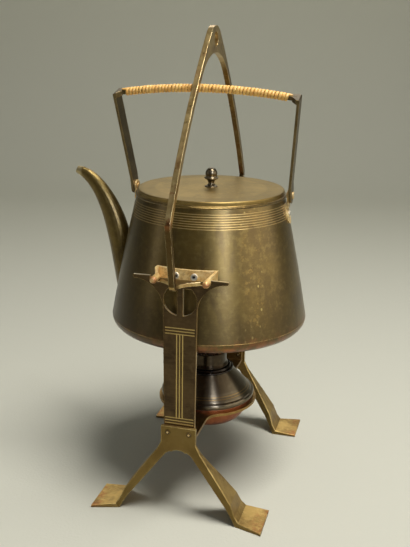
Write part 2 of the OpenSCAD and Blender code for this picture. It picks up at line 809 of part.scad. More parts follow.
// End of the winding, from the last turn to the shoulder: a quarter turn and a straight run
// Each point holds the distance round, the distance along, the direction and the lift off the rod
function cane_end_path() = concat(
    [for (i = [1 : cane_corner_steps])
        let (a = cane_climb + (90 - cane_climb) * i / cane_corner_steps)
        [cane_turn_r * (sin(a) - sin(cane_climb)), cane_turn_r * (cos(cane_climb) - cos(a)), a,
            cane_lift * i / cane_corner_steps]],
    [for (i = [1 : cane_straight_steps])
        [cane_turn_r * (1 - sin(cane_climb)), cane_turn_r * cos(cane_climb) + cane_w * i / cane_straight_steps,
            90, cane_lift]]);

// Half length of the turns, so that the ends just reach the shoulders
function cane_path_start() = cane_end - cane_turn_r * cos(cane_climb) - cane_w;

cane_count = cane_turns * cane_rings;
cane_mid_path = [for (i = [0 : cane_count])
    [cane_round * cane_turns * (i / cane_count - 0.5), cane_start * (2 * i / cane_count - 1), cane_climb, 0]];
cane_last = cane_mid_path[cane_count];
cane_tail = [for (p = cane_end_path()) [cane_last[0] + p[0], cane_last[1] + p[1], p[2], p[3]]];
cane_head = [for (i = [len(cane_tail) - 1 : -1 : 0])
    [-cane_tail[i][0], -cane_tail[i][1], cane_tail[i][2], cane_tail[i][3]]];
cane_path = concat(cane_head, cane_mid_path, cane_tail);

// Point of the grip at height h above its rod's axis, from unrolled distances u and v
function on_grip(u, v, h) =
    let (
        turn = 360 * u / cane_round,
        along = asin(v / grip_arch_r),
        up = (cane_path_r + h) * cos(turn)
    )
    [(grip_arch_r + up) * sin(along), (cane_path_r + h) * sin(turn), grip_arch_z + (grip_arch_r + up) * cos(along)];

// Flat six-sided section of the cane at one point of its path
function cane_section(p) =
    let (
        across = [-sin(p[2]), cos(p[2])],
        a = cane_w / 2,
        b = cane_flat,
        c = cane_t / 2
    )
    [for (q = [[-a, 0], [-b, -c], [b, -c], [a, 0], [b, c], [-b, c]])
        on_grip(p[0] + q[0] * across[0], p[1] + q[0] * across[1], p[3] + q[1])];

cane_points = [for (p = cane_path) cane_section(p)];

// Least gap between one turn and the next, measured from point to point
cane_least_gap = min([for (i = [0 : len(cane_points) - cane_rings - 2], k = [-1 : 1], p = cane_points[i],
    q = cane_points[i + cane_rings + k]) norm(p - q)]);
echo(cane_least_gap = cane_least_gap);

// The cane winding: one flat strip wound round the rod, its ends run straight to the shoulders
module cane_wrap() {
    placed() color(cane) on_hinge() ring_solid(cane_points);
}

// The lid: a flat cap with a turned-down edge
module lid() {
    edge_r = 1.2;
    out = concat(
        [[0, lid_top_z + lid_rise]],
        arc(lid_r - edge_r, lid_top_z - edge_r, edge_r, 80, 0, 4),
        [[lid_r, lid_low_z]]);
    in = [[lid_r - lid_wall, lid_low_z], [lid_r - lid_wall, lid_top_z - lid_wall],
        [0, lid_top_z + lid_rise - lid_wall]];
    placed() color(aged_brass) difference() {
        rotate_extrude($fn = round_fn) polygon(concat(out, in));
        cylinder(r = stud_r + rivet_gap, h = big, $fn = small_fn);
    }
}

// The lid's collar: a short tube under the lid that drops into the seat
module lid_collar() {
    out_r = seat_r - lid_gap;
    in_r = out_r - lid_wall;
    top_z = lid_top_z - lid_wall;
    cone_r = lid_r - lid_wall;
    placed() color(aged_brass)
        rotate_extrude($fn = round_fn)
            polygon([
                [in_r, lid_low_z - lid_collar_h], [out_r, lid_low_z - lid_collar_h],
                [out_r, top_z + lid_rise * (1 - out_r / cone_r)],
                [in_r, top_z + lid_rise * (1 - in_r / cone_r)]]);
}

// The finial: a round foot, a neck, a cup and an acorn
module finial() {
    base_z = lid_top_z + lid_rise;
    cup_z = base_z + finial_cup_z;
    acorn = [for (i = [0 : 8]) let (a = 90 * i / 8) [finial_r * cos(a), cup_z + finial_acorn_h * sin(a)]];
    placed() color(dark_bronze) difference() {
        rotate_extrude($fn = 48)
            polygon(concat(
                [[0, base_z], [finial_foot_r, base_z], [finial_foot_r, base_z + 0.8],
                    [finial_foot_r * 0.75, base_z + 1.6], [finial_neck_r + 0.4, base_z + 2.6],
                    [finial_neck_r, base_z + 4], [finial_neck_r + 0.5, base_z + 5.2],
                    [finial_cup_r - 0.9, cup_z - 1.4], [finial_cup_r, cup_z - 0.7],
                    [finial_cup_r, cup_z]],
                acorn));
        translate([0, 0, base_z - 1])
            cylinder(r = stud_r + rivet_gap, h = finial_cup_z, $fn = small_fn);
    }
}

// The stud that holds the finial, with its nut under the lid
module finial_stud() {
    base_z = lid_top_z + lid_rise;
    nut_z = base_z - lid_wall;
    placed() color(brass) union() {
        translate([0, 0, nut_z - 4])
            cylinder(r = stud_r, h = lid_wall + finial_cup_z + 2, $fn = small_fn);
        translate([0, 0, nut_z - 2.5 - rivet_gap]) cylinder(r = 3.4, h = 2.5, $fn = 6);
    }
}

// Outline of a post, seen from the front
module post_outline() {
    curve_x = post_half_top + horn_curve_r;
    tip_x = min(horn_x, curve_x);
    curve_z = horn_z - horn_t - horn_curve_r;
    rise = curve_z - post_low_z;
    side = concat(
        [[0, post_low_z], [post_half_low, post_low_z]],
        arc(curve_x, curve_z, horn_curve_r, 180, 90 + asin((curve_x - tip_x) / horn_curve_r), 12),
        rounded([tip_x, horn_z - horn_t], [tip_x + 1, horn_z - 0.2], [pin_x, horn_z], 0.8),
        [[pin_x, horn_z], [pin_x, post_seat_z], [0, post_seat_z]]);
    difference() {
        polygon(concat(side, mirror_x(side)));
        for (s = [0, 1]) mirror([s, 0]) {
            translate([pin_x, notch_axis_z]) circle(r = notch_r, $fn = 48);
            translate([pin_x - notch_r, notch_axis_z]) square([2 * notch_r, big]);
            translate([0, post_seat_z]) square([pin_x, big]);
            intersection() {
                translate([leaf_bar - 1.6, leaf_z]) circle(r = leaf_r, $fn = 64);
                translate([leaf_bar, leaf_z - leaf_r])
                    square([leaf_r, post_seat_z - 4 - leaf_z + leaf_r]);
            }
        }
    }
}

// Engraved lines on a post's outer face: two level groups and the upright group between them
module post_lines() {
    length = 2 * post_half_low - 1.6;
    for (i = [-1 : 1]) {
        for (z = [line_top_z, line_low_z])
            translate([-length / 2, -post_out_y - 1, z + i * line_pitch - line_w / 2])
                cube([length, 1 + line_depth, line_w]);
        translate([i * line_pitch - line_w / 2, -post_out_y - 1, line_low_z + line_pitch])
            cube([line_w, 1 + line_depth, line_top_z - line_low_z - 2 * line_pitch]);
    }
}

module stand_rivet_holes() {
    for (s = [-1, 1])
        translate([s * stand_rivet_x, -post_y + big / 2, stand_rivet_z])
            rotate([90, 0, 0]) cylinder(r = rivet_r + rivet_gap, h = big, $fn = small_fn);
}

// A post: a flat bar with leaf-shaped openings and two horns with notches for the rest pins
module post_solid() {
    difference() {
        translate([0, -post_y, 0]) rotate([90, 0, 0]) linear_extrude(post_t) post_outline();
        post_lines();
        intersection() {
            stand_rivet_holes();
            translate([-big / 2, -big, 0]) cube([big, big, big]);
        }
    }
}

module post_front() {
    placed() color(dark_bronze) post_solid();
}

module post_back() {
    placed() color(dark_bronze) at_back(true) post_solid();
}

// Edges of a foot's leg: outer edge, inner edge, and its reach to the front and to the back
leg_outer = [[foot_half - 3, 76], [foot_half + 0.3, 68.5], [19.6, 61], [26.5, 51.2], [35.9, 37.8],
    [48.4, 19.5], [foot_bend_x - 2.5, 9], [foot_bend_x + 1.2, foot_t + 0.9], [foot_tip_x, foot_tip_t]];
leg_inner = [[1, 68], [4, 62.5], [11, 58.6], [19.5, 47.5], [30.6, 32.6], [44.3, 14.6], [49.5, 6.2],
    [foot_bend_x - 2.2, 0], [foot_tip_x, 0]];
leg_spread = [0, 0, 0.05, 0.2, 0.45, 0.74, 0.9, 1, 1];
leg_chamfer = 0.5;

// One eight-sided section of a leg, from its outer edge to its inner edge
function leg_section(i) =
    let (
        u = leg_outer[i],
        l = leg_inner[i],
        s = leg_spread[i],
        front_end = i == len(leg_outer) - 1 ? foot_tip_y : foot_bend_y,
        f = foot_out_y + (front_end - foot_out_y) * s,
        b = post_out_y + (foot_in_y - post_out_y) * s,
        d = (u - l) / norm(u - l) * leg_chamfer,
        c = leg_chamfer
    )
    [[u[0], -f + c, u[1]], [u[0], -b - c, u[1]], [u[0] - d[0], -b, u[1] - d[1]], [l[0] + d[0], -b, l[1] + d[1]],
        [l[0], -b - c, l[1]], [l[0], -f + c, l[1]], [l[0] + d[0], -f, l[1] + d[1]], [u[0] - d[0], -f, u[1] - d[1]]];

// A foot: a plate riveted over the post's end, and two legs that flare into flat feet
module foot_solid() {
    difference() {
        union() {
            translate([0, -post_out_y, 0]) rotate([90, 0, 0]) linear_extrude(foot_t)
                difference() {
                    polygon([
                        [-foot_half, foot_top_z], [foot_half, foot_top_z], [foot_half, 69], [foot_half - 3, 64],
                        [6, 60], [-6, 60], [-foot_half + 3, 64], [-foot_half, 69]]);
                    translate([0, 52]) circle(r = 10.5, $fn = 48);
                }
            for (s = [0, 1]) mirror([s, 0, 0])
                ring_solid([for (i = [0 : len(leg_outer) - 1]) leg_section(i)]);
        }
        intersection() {
            stand_rivet_holes();
            translate([-big / 2, -big, 0]) cube([big, big, big]);
        }
    }
}

module foot_front() {
    placed() color(brass) foot_solid();
}

module foot_back() {
    placed() color(brass) at_back(true) foot_solid();
}

// The four rivets that hold foot, post and burner strap together
module stand_rivets() {
    length = foot_out_y - post_y + ring_t;
    placed() color(brass)
        for (side = [0, 180], s = [-1, 1])
            rotate([0, 0, side])
                translate([s * stand_rivet_x, -foot_out_y, stand_rivet_z]) rotate([-90, 0, 0]) {
                    translate([0, 0, -0.7]) cylinder(r = 2.1, h = 0.7, $fn = small_fn);
                    cylinder(r = rivet_r, h = length, $fn = small_fn);
                    translate([0, 0, length]) cylinder(r = 2.1, h = 0.7, $fn = small_fn);
                }
}

// Points of a bail leg's bow at distance g inside its outer edge, from the crown to the bend
crown_z = bail_top_z - bail_crown_r;
bow_from = [bail_crown_y, crown_z + sqrt(bail_crown_r * bail_crown_r - bail_crown_y * bail_crown_y)];
bow_to = [bail_bend_y, bail_bend_z];
bow_chord = bow_to - bow_from;
bow_mid = (bow_from + bow_to) / 2;
bow_side = [-bow_chord[1], bow_chord[0]] / norm(bow_chord);
bow_centre = bow_mid + bow_side * -sqrt(pow(bail_bow_r, 2) - pow(norm(bow_chord) / 2, 2));
bow_a0 = atan2(bow_from[1] - bow_centre[1], bow_from[0] - bow_centre[0]);
bow_a1 = atan2(bow_to[1] - bow_centre[1], bow_to[0] - bow_centre[0]);

function bow_points(g) = arc(bow_centre[0], bow_centre[1], bail_bow_r - g, bow_a0, bow_a1, 14);

// Outline of the bail in its own plane
module bail_outline() {
    foot_z = post_seat_z;
    crown = arc(0, crown_z, bail_crown_r, 90, acos(bail_crown_y / bail_crown_r), 6);
    outer_bow = bow_points(0);
    outer = concat(
        crown,
        [for (i = [1 : len(outer_bow) - 2]) outer_bow[i]],
        rounded(outer_bow[len(outer_bow) - 2], bow_to, [bail_low_y, foot_z], 7),
        rounded(bow_to, [bail_low_y, foot_z], [0, foot_z], 5),
        [[0, foot_z]]);
    inner_bow = bow_points(bail_w);
    inner_low = [bail_low_y - bail_w, foot_z];
    inner_bend = inner_bow[len(inner_bow) - 1];
    inner = concat(
        [[0, inner_bow[0][1]]],
        [for (i = [0 : len(inner_bow) - 2]) inner_bow[i]],
        rounded(inner_bow[len(inner_bow) - 2], inner_bend, inner_low, 3),
        [inner_low, inner_low - [0, 1], [0, foot_z - 1]]);
    difference() {
        polygon(concat(outer, mirror_x(outer)));
        intersection() {
            polygon(concat(inner, mirror_x(inner)));
            union() {
                translate([0, bail_arch_z - bail_arch_r]) circle(r = bail_arch_r, $fn = round_fn);
                translate([-big, 0]) square([2 * big, bail_arch_z - bail_arch_r * 0.36]);
            }
        }
        translate([0, eye_z]) circle(r = eye_r, $fn = 64);
    }
}

// Outline of the bail's splayed foot on the front post, seen from above
module bail_foot_outline() {
    half = bail_t / 2;
    far = -bail_low_y + bail_w;
    reach = bail_low_y - bail_w - post_out_y;
    edge = [for (i = [0 : 8])
        let (t = i / 8)
        [half + (bail_foot_half - half) * pow(t, 2.2), far + reach * t]];
    right = concat([[0, -bail_low_y + bail_w / 2], [half, -bail_low_y + bail_w / 2]], edge,
        [[bail_foot_half, -post_y], [0, -post_y]]);
    polygon(concat(right, mirror_x(right)));
}

// The bail: a flat bar bent to a tall pointed arch, its feet splayed over the posts
module bail() {
    placed() color(brass) union() {
        rotate([90, 0, 90]) translate([0, 0, -bail_t / 2]) linear_extrude(bail_t) bail_outline();
        for (back = [false, true])
            at_back(back) translate([0, 0, post_seat_z]) linear_extrude(bail_foot_t) bail_foot_outline();
    }
}

// Outline of the burner's strap, seen from above
module burner_strap_outline() {
    fillet_x = ring_half + ring_fillet_r;
    fillet_y = sqrt(pow(ring_out_r + ring_fillet_r, 2) - fillet_x * fillet_x);
    touch = [fillet_x, fillet_y] * ring_out_r / (ring_out_r + ring_fillet_r);
    difference() {
        union() {
            circle(r = ring_out_r, $fn = round_fn);
            square([2 * ring_half, 2 * (post_y - ring_t)], center = true);
            for (sx = [0, 1], sy = [0, 1]) mirror([sx, 0]) mirror([0, sy])
                difference() {
                    polygon([[ring_half - 1, fillet_y], [fillet_x, fillet_y], touch, [ring_half - 1, touch[1]]]);
                    translate([fillet_x, fillet_y]) circle(r = ring_fillet_r, $fn = 64);
                }
        }
        circle(r = ring_in_r, $fn = round_fn);
    }
}

// The burner strap: a ring on two arms, its ends turned up against the posts
module burner_strap() {
    placed() color(brass) difference() {
        union() {
            translate([0, 0, strap_z]) linear_extrude(ring_t) burner_strap_outline();
            for (turn = [0, 180]) rotate([0, 0, turn])
                translate([-ring_half, -post_y, strap_z])
                    cube([2 * ring_half, ring_t, flange_top_z - strap_z]);
        }
        stand_rivet_holes();
    }
}

// The burner's bowl, with a flange that rests on the ring
module burner_bowl() {
    corner_z = bowl_low_z + bowl_corner_r;
    corner_x = bowl_r - 1 - bowl_corner_r;
    wall = burner_wall;
    placed() color(burner_brown)
        rotate_extrude($fn = round_fn)
            polygon(concat(
                [[0, bowl_low_z]],
                arc(corner_x, corner_z, bowl_corner_r, -90, 0, 8),
                [[bowl_r, bowl_seat_z], [bowl_flange_r, bowl_seat_z], [bowl_flange_r, bowl_seat_z + 2 * wall],
                    [bowl_r - wall, bowl_seat_z + 2 * wall]],
                arc(corner_x, corner_z, bowl_corner_r - wall, 0, -90, 8),
                [[0, bowl_low_z + wall]]));
}

// The burner's shoulder: a swelling cone with a rounded lip
module burner_shoulder() {
    lip_z = shoulder_low_z + lip_h;
    foot = [shoulder_r, lip_z];
    top = [collar_r - 1.5, shoulder_top_z];
    side = (foot - top) / norm(foot - top);
    away = [-side[1], side[0]];
    steps = 8;
    function swell(g) = [for (i = [0 : steps])
        let (t = i / steps)
        foot + (top - foot) * t + away * (4 * shoulder_bow * t * (1 - t) - g)];
    wall = burner_wall;
    inside = swell(wall);
    placed() color(burner_brown)
        rotate_extrude($fn = round_fn)
            polygon(concat(
                [[bowl_flange_r - 1, shoulder_low_z]],
                [for (a = [-60 : 30 : 60])
                    [shoulder_r + (lip_r - shoulder_r) * cos(a), shoulder_low_z + lip_h / 2 * (1 + sin(a) * 0.98)]],
                swell(0),
                [[wick_tube_r + rivet_gap, shoulder_top_z], [wick_tube_r + rivet_gap, shoulder_top_z - wall]],
                [for (i = [steps : -1 : 0]) [min(inside[i][0], shoulder_r - wall), min(inside[i][1], shoulder_top_z - wall)]],
                [[shoulder_r - wall, shoulder_low_z]]));
}

// The burner's collar: a stepped ring round the wick tube
module burner_collar() {
    placed() color(burner_brown)
        rotate_extrude($fn = round_fn)
            polygon(concat(
                [[wick_tube_r + rivet_gap, shoulder_top_z], [collar_r - 1, shoulder_top_z]],
                arc(collar_r - 1, shoulder_top_z + 1.2, 1.2, -60, 60, 4),
                [[collar_r - 2, shoulder_top_z + 2.4], [collar_r - 3, collar_top_z],
                    [wick_tube_r + rivet_gap, collar_top_z]]));
}

// The wick tube, through the collar into the bowl
module wick_tube() {
    placed() color(brass) difference() {
        translate([0, 0, wick_tube_low_z])
            cylinder(r = wick_tube_r, h = wick_tube_top_z - wick_tube_low_z, $fn = 64);
        cylinder(r = wick_tube_r - burner_wall, h = big, $fn = 64);
    }
}

// The wick: a round cotton plug that reaches down into the spirit
module wick() {
    low_z = bowl_low_z + burner_wall + 2;
    r = wick_tube_r - burner_wall - rivet_gap;
    placed() color(cotton)
        rotate_extrude($fn = 48)
            polygon([[0, low_z], [r, low_z], [r, wick_top_z - 1], [r - 1.5, wick_top_z], [0, wick_top_z]]);
}

// The flame sleeve: a short chimney that slides on the wick tube
module flame_sleeve() {
    low_z = collar_top_z + rest_gap;
    wall = burner_wall;
    guide_r = wick_tube_r + pin_gap;
    placed() color(burner_brown)
        rotate_extrude($fn = round_fn)
            polygon([
                [guide_r, low_z], [sleeve_foot_r - 0.6, low_z], [sleeve_foot_r, low_z + 0.6],
                [sleeve_foot_r, low_z + 1.4], [sleeve_foot_r - 0.7, low_z + 2], [sleeve_r, low_z + 3.4],
                [sleeve_r, sleeve_top_z - 0.4], [sleeve_r - 0.4, sleeve_top_z],
                [sleeve_r - wall, sleeve_top_z], [sleeve_r - wall, low_z + 2], [guide_r, low_z + 2]]);
}

post_front();
post_back();
foot_front();
foot_back();
stand_rivets();
bail();
burner_strap();
kettle_body();
kettle_foot();
kettle_base();
lid_seat();
spout();
lug_spout_side();
lug_handle_side();
lug_rivets();
bracket_front();
bracket_back();
bracket_rivets();
hinge_pins();
handle_frame();
cane_wrap();
lid();
lid_collar();
finial();
finial_stud();
burner_bowl();
burner_shoulder();
burner_collar();
wick_tube();
wick();
flame_sleeve();
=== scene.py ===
import math
import random

import bpy
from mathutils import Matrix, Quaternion, Vector


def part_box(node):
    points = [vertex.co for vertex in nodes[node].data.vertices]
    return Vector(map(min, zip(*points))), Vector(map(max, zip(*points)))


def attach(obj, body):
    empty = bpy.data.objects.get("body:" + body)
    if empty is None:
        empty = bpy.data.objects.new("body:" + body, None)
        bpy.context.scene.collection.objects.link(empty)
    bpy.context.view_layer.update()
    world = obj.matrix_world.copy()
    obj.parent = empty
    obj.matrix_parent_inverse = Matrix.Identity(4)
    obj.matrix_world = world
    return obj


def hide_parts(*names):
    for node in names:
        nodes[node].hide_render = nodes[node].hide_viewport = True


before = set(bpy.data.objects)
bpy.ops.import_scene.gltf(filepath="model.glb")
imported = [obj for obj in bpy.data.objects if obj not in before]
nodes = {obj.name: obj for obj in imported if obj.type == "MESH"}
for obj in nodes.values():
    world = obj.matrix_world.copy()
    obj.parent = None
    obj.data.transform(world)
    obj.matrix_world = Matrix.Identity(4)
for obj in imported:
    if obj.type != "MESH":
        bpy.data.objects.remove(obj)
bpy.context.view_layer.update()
scene = bpy.context.scene

AXIS_X = 0.02  # X of the kettle's axis
MM = 0.001
FOOT_RIVET = (0.0095, 0.0786)  # distance from the middle and height of the foot rivets
PLATE_RIVET = (0.0077, 0.2144)  # the same for the bracket rivets
LUG_RIVET_Z = 0.2555
RING_TOP_Z = 0.2643  # height of the topmost engraved ring
RING_PITCH = 0.002


def srgb(r, g, b):
    """Linear colour of an 8-bit sRGB one."""
    def one(c):
        c /= 255
        return c / 12.92 if c <= 0.04045 else ((c + 0.055) / 1.055) ** 2.4
    return (one(r), one(g), one(b), 1.0)


# ---------------------------------------------------------------- materials

class Look:
    """A procedural material under construction."""

    def __init__(self, name):
        self.mat = bpy.data.materials.new(name)
        self.mat.use_nodes = True
        self.tree = self.mat.node_tree
        self.tree.nodes.clear()
        self.out = self.add("ShaderNodeOutputMaterial")
        self.shader = self.add("ShaderNodeBsdfPrincipled")
        self.tree.links.new(self.shader.outputs[0], self.out.inputs["Surface"])
        self.obj = self.add("ShaderNodeTexCoord").outputs["Object"]
        sep = self.add("ShaderNodeSeparateXYZ")
        self.put(sep.inputs[0], self.obj)
        self.x, self.y, self.z = sep.outputs
        self.dx = self.math("SUBTRACT", self.x, AXIS_X)
        self.r = self.length(self.dx, self.y)

    def add(self, kind, **props):
        node = self.tree.nodes.new(kind)
        for key, value in props.items():
            setattr(node, key, value)
        return node

    def put(self, socket, value):
        if isinstance(value, bpy.types.NodeSocket):
            self.tree.links.new(value, socket)
        else:
            socket.default_value = value

    def math(self, op, a, b=0.0, c=0.0, clamp=False):
        node = self.add("ShaderNodeMath", operation=op, use_clamp=clamp)
        for socket, value in zip(node.inputs, (a, b, c)):
            self.put(socket, value)
        return node.outputs[0]

    def stretch(self, sx, sy, sz, source=None):
        node = self.add("ShaderNodeVectorMath", operation="MULTIPLY")
        self.put(node.inputs[0], source or self.obj)
        node.inputs[1].default_value = (sx, sy, sz)
        return node.outputs[0]

    def join(self, x, y, z):
        node = self.add("ShaderNodeCombineXYZ")
        for socket, value in zip(node.inputs, (x, y, z)):
            self.put(socket, value)
        return node.outputs[0]

    def noise(self, vector, scale=1.0, detail=3.0, rough=0.55, warp=0.0):
        node = self.add("ShaderNodeTexNoise")
        self.put(node.inputs["Vector"], vector)
        node.inputs["Scale"].default_value = scale
        node.inputs["Detail"].default_value = detail
        node.inputs["Roughness"].default_value = rough
        node.inputs["Distortion"].default_value = warp
        return node.outputs["Fac"] if "Fac" in node.outputs else node.outputs[0]

    def cells(self, vector, scale):
        node = self.add("ShaderNodeTexVoronoi", feature="F1")
        self.put(node.inputs["Vector"], vector)
        node.inputs["Scale"].default_value = scale
        return node.outputs["Distance"]

    def span(self, value, a, b, low=0.0, high=1.0, smooth=True):
        """Value from a to b mapped to low to high, held outside."""
        node = self.add("ShaderNodeMapRange", interpolation_type="SMOOTHSTEP" if smooth else "LINEAR")
        self.put(node.inputs["Value"], value)
        for key, v in (("From Min", a), ("From Max", b), ("To Min", low), ("To Max", high)):
            node.inputs[key].default_value = v
        return node.outputs["Result"]

    def mix(self, fac, a, b, blend="MIX"):
        node = self.add("ShaderNodeMix", data_type="RGBA", blend_type=blend)
        self.put(node.inputs[0], fac)
        self.put(node.inputs[6], a)
        self.put(node.inputs[7], b)
        return node.outputs[2]

    def length(self, u, v):
        return self.math("SQRT", self.math("ADD", self.math("MULTIPLY", u, u), self.math("MULTIPLY", v, v)))

    def facing(self):
        """X, Y and Z of the face's normal."""
        split = self.add("ShaderNodeSeparateXYZ")
        self.put(split.inputs[0], self.add("ShaderNodeNewGeometry").outputs["True Normal"])
        return split.outputs

    def all_of(self, *masks):
        out = masks[0]
        for mask in masks[1:]:
            out = self.math("MULTIPLY", out, mask)
        return out

    def bevel(self, radius, samples=4):
        node = self.add("ShaderNodeBevel", samples=samples)
        node.inputs["Radius"].default_value = radius
        return node.outputs[0]

    def edges(self, radius, low=0.02, high=0.22):
        """1 on sharp outer edges, 0 on faces."""
        geometry = self.add("ShaderNodeNewGeometry")
        dot = self.add("ShaderNodeVectorMath", operation="DOT_PRODUCT")
        self.put(dot.inputs[0], self.bevel(radius))
        self.put(dot.inputs[1], geometry.outputs["Normal"])
        return self.span(self.math("SUBTRACT", 1.0, dot.outputs["Value"]), low, high)

    def crevice(self, distance, low=0.35, high=0.9):
        """1 in corners and recesses, 0 in the open."""
        node = self.add("ShaderNodeAmbientOcclusion", samples=6, only_local=True)
        node.inputs["Distance"].default_value = distance
        return self.span(node.outputs["AO"], low, high, 1.0, 0.0)

    def bump(self, height, strength, distance, normal=None):
        node = self.add("ShaderNodeBump")
        self.put(node.inputs["Height"], height)
        node.inputs["Strength"].default_value = strength
        node.inputs["Distance"].default_value = distance
        if normal is not None:
            self.put(node.inputs["Normal"], normal)
        return node.outputs[0]

    def finish(self, color, rough, normal, metallic=1.0, **more):
        if "Anisotropic" in more:
            around = self.add("ShaderNodeTangent", direction_type="RADIAL", axis="Z")
            self.put(self.shader.inputs["Tangent"], around.outputs[0])
        self.put(self.shader.inputs["Base Color"], color)
        self.put(self.shader.inputs["Roughness"], rough)
        self.put(self.shader.inputs["Normal"], normal)
        self.shader.inputs["Metallic"].default_value = metallic
        for key, value in more.items():
            self.shader.inputs[key.replace("_", " ")].default_value = value
        return self.mat


def metal(name, dark, mid, light, edge, rough=(0.26, 0.42), spin=False, grain=(60, 60, 1500), patch=34,
          edge_radius=0.0011, shade_and_grime=0.5, extra=None, relief=0.16, metallic=1.0, edge_amount=0.75, brush=0.28, **more):
    """Aged brass or bronze: patches of patina, a brushed or spun grain, pits, grime with painted shade in crevices, and
    worn edges.
    """
    m = Look(name)
    patches = m.noise(m.obj, patch, 5, 0.6, 0.4)
    mottle = m.noise(m.obj, 210, 5, 0.65)
    if spin:
        around = m.math("ADD", m.z, m.r)
        lines = m.join(m.math("MULTIPLY", m.x, 45), m.math("MULTIPLY", m.y, 45), m.math("MULTIPLY", around, 1500))
    else:
        lines = m.stretch(*grain)
    brushed = m.noise(lines, 1.0, 2, 0.6)
    color = m.mix(m.span(patches, 0.36, 0.64), dark, mid)
    color = m.mix(m.span(mottle, 0.45, 0.75, 0.0, 0.6), color, light)
    color = m.mix(m.span(brushed, 0.3, 0.7, 0.0, brush), color, light)
    pits = m.all_of(m.span(m.cells(m.obj, 420), 0.05, 0.14, 1.0, 0.0), m.span(m.noise(m.obj, 90), 0.5, 0.62))
    color = m.mix(m.math("MULTIPLY", pits, 0.55), color, dark)
    # Darker in corners and recesses: part grime, part painted shade
    shade_and_dirt = m.math("MULTIPLY", m.crevice(0.003, 0.25, 0.8), shade_and_grime)
    color = m.mix(shade_and_dirt, color, tuple(c * 0.35 for c in dark[:3]) + (1.0,))
    if extra:
        color = extra(m, color)
    wear = m.all_of(m.edges(edge_radius), m.span(m.noise(m.obj, 120, 4, 0.7), 0.3, 0.6), edge_amount)
    color = m.mix(wear, color, edge)
    r = m.span(m.math("ADD", m.math("MULTIPLY", mottle, 0.55), m.math("MULTIPLY", brushed, 0.45)), 0.3, 0.7,
               rough[0], rough[1], False)
    r = m.math("ADD", r, m.math("MULTIPLY", shade_and_dirt, 0.25))
    height = m.math("ADD", m.math("MULTIPLY", brushed, 0.35), m.math("MULTIPLY", mottle, 0.65))
    normal = m.bump(height, relief, 0.0004, m.bevel(0.0005))
    return m.finish(color, r, normal, metallic, **more)


def toward(m, degrees, width):
    """1 on the side of the kettle that faces a bearing, counted from the front towards +X."""
    a = math.radians(degrees)
    side = m.math("ADD", m.math("MULTIPLY", m.dx, math.sin(a)), m.math("MULTIPLY", m.y, -math.cos(a)))
    return m.span(m.math("DIVIDE", side, m.math("MAXIMUM", m.r, 0.001)), math.cos(math.radians(width)), 1.0)


def kettle_extra(m, color):
    # The engraved rings are painted pale: a painted highlight in the grooves
    step = m.math("DIVIDE", m.math("SUBTRACT", RING_TOP_Z, m.z), RING_PITCH)
    off = m.math("ABSOLUTE", m.math("SUBTRACT", m.math("FRACT", m.math("ADD", step, 0.5)), 0.5))
    rings = m.all_of(m.span(off, 0.08, 0.17, 1.0, 0.0), m.span(m.z, 0.2514, 0.2516),
                     m.span(m.z, 0.2650, 0.2652, 1.0, 0.0))
    color = m.mix(m.math("MULTIPLY", rings, 0.85), color, srgb(216, 192, 138))
    # A column of pale lime spots, fewer on the rest of the wall
    spots = m.span(m.cells(m.stretch(1, 1, 0.7), 210), 0.12, 0.24, 1.0, 0.0)
    few = m.span(m.noise(m.obj, 60, 3), 0.46, 0.54)
    column = m.math("ADD", toward(m, 42, 9), 0.10, clamp=True)
    color = m.mix(m.math("MULTIPLY", m.all_of(spots, few, column), 0.9), color, srgb(176, 158, 98))
    blotch = m.span(m.noise(m.obj, 150, 4, 0.7), 0.56, 0.66)
    color = m.mix(m.math("MULTIPLY", m.all_of(blotch, column), 0.5), color, srgb(158, 128, 66))
    # Coppery wear round the foot and dull drips down the wall
    low = m.span(m.z, 0.149, 0.166, 1.0, 0.0)
    rust = m.span(m.noise(m.obj, 75, 5, 0.7), 0.42, 0.6)
    color = m.mix(m.math("MULTIPLY", m.all_of(low, rust), 0.85), color, srgb(176, 102, 62))
    drips = m.span(m.noise(m.stretch(1, 1, 0.16), 110, 4), 0.54, 0.68)
    color = m.mix(m.math("MULTIPLY", drips, 0.4), color, srgb(84, 66, 34))
    # Painted shade: darker towards the foot and on the spout's side
    color = m.mix(m.span(m.z, 0.152, 0.205, 0.38, 0.0), color, srgb(74, 60, 32))
    left = m.all_of(toward(m, -75, 95), m.span(m.z, 0.150, 0.265, 0.75, 0.35))
    return m.mix(left, color, srgb(58, 45, 20))


def post_marks_and_highlights(m, color):
    # The cut edges of the plate are painted lighter: a painted highlight
    _, normal_y, normal_z = m.facing()
    cut_edge_highlight = m.span(m.math("ABSOLUTE", normal_y), 0.3, 0.6, 1.0, 0.0)
    color = m.mix(m.math("MULTIPLY", cut_edge_highlight, 0.75), color, srgb(176, 148, 96))
    # brightest in the leaf openings and on top of the horns, where they face the light: painted highlight
    inside = m.span(m.math("ABSOLUTE", m.dx), 0.0130, 0.0136, 1.0, 0.0)
    opening_top_highlight = m.all_of(cut_edge_highlight, m.math("MAXIMUM", inside, m.span(normal_z, 0.6, 0.9)), m.span(m.z, 0.170, 0.175))
    color = m.mix(m.math("MULTIPLY", opening_top_highlight, 0.8), color, srgb(240, 228, 198))
    # The engraved lines are painted pale
    depth = m.math("ABSOLUTE", m.y)
    lines = m.all_of(m.span(depth, 0.0940, 0.0941), m.span(depth, 0.09435, 0.0944, 1.0, 0.0),
                     m.span(m.math("ABSOLUTE", m.dx), 0.0129, 0.0131, 1.0, 0.0), m.span(m.z, 0.084, 0.0845))
    return m.mix(m.math("MULTIPLY", lines, 0.95), color, srgb(214, 190, 120))


def from_foot_rivet(m):
    return m.length(m.math("SUBTRACT", m.math("ABSOLUTE", m.dx), FOOT_RIVET[0]), m.math("SUBTRACT", m.z, FOOT_RIVET[1]))


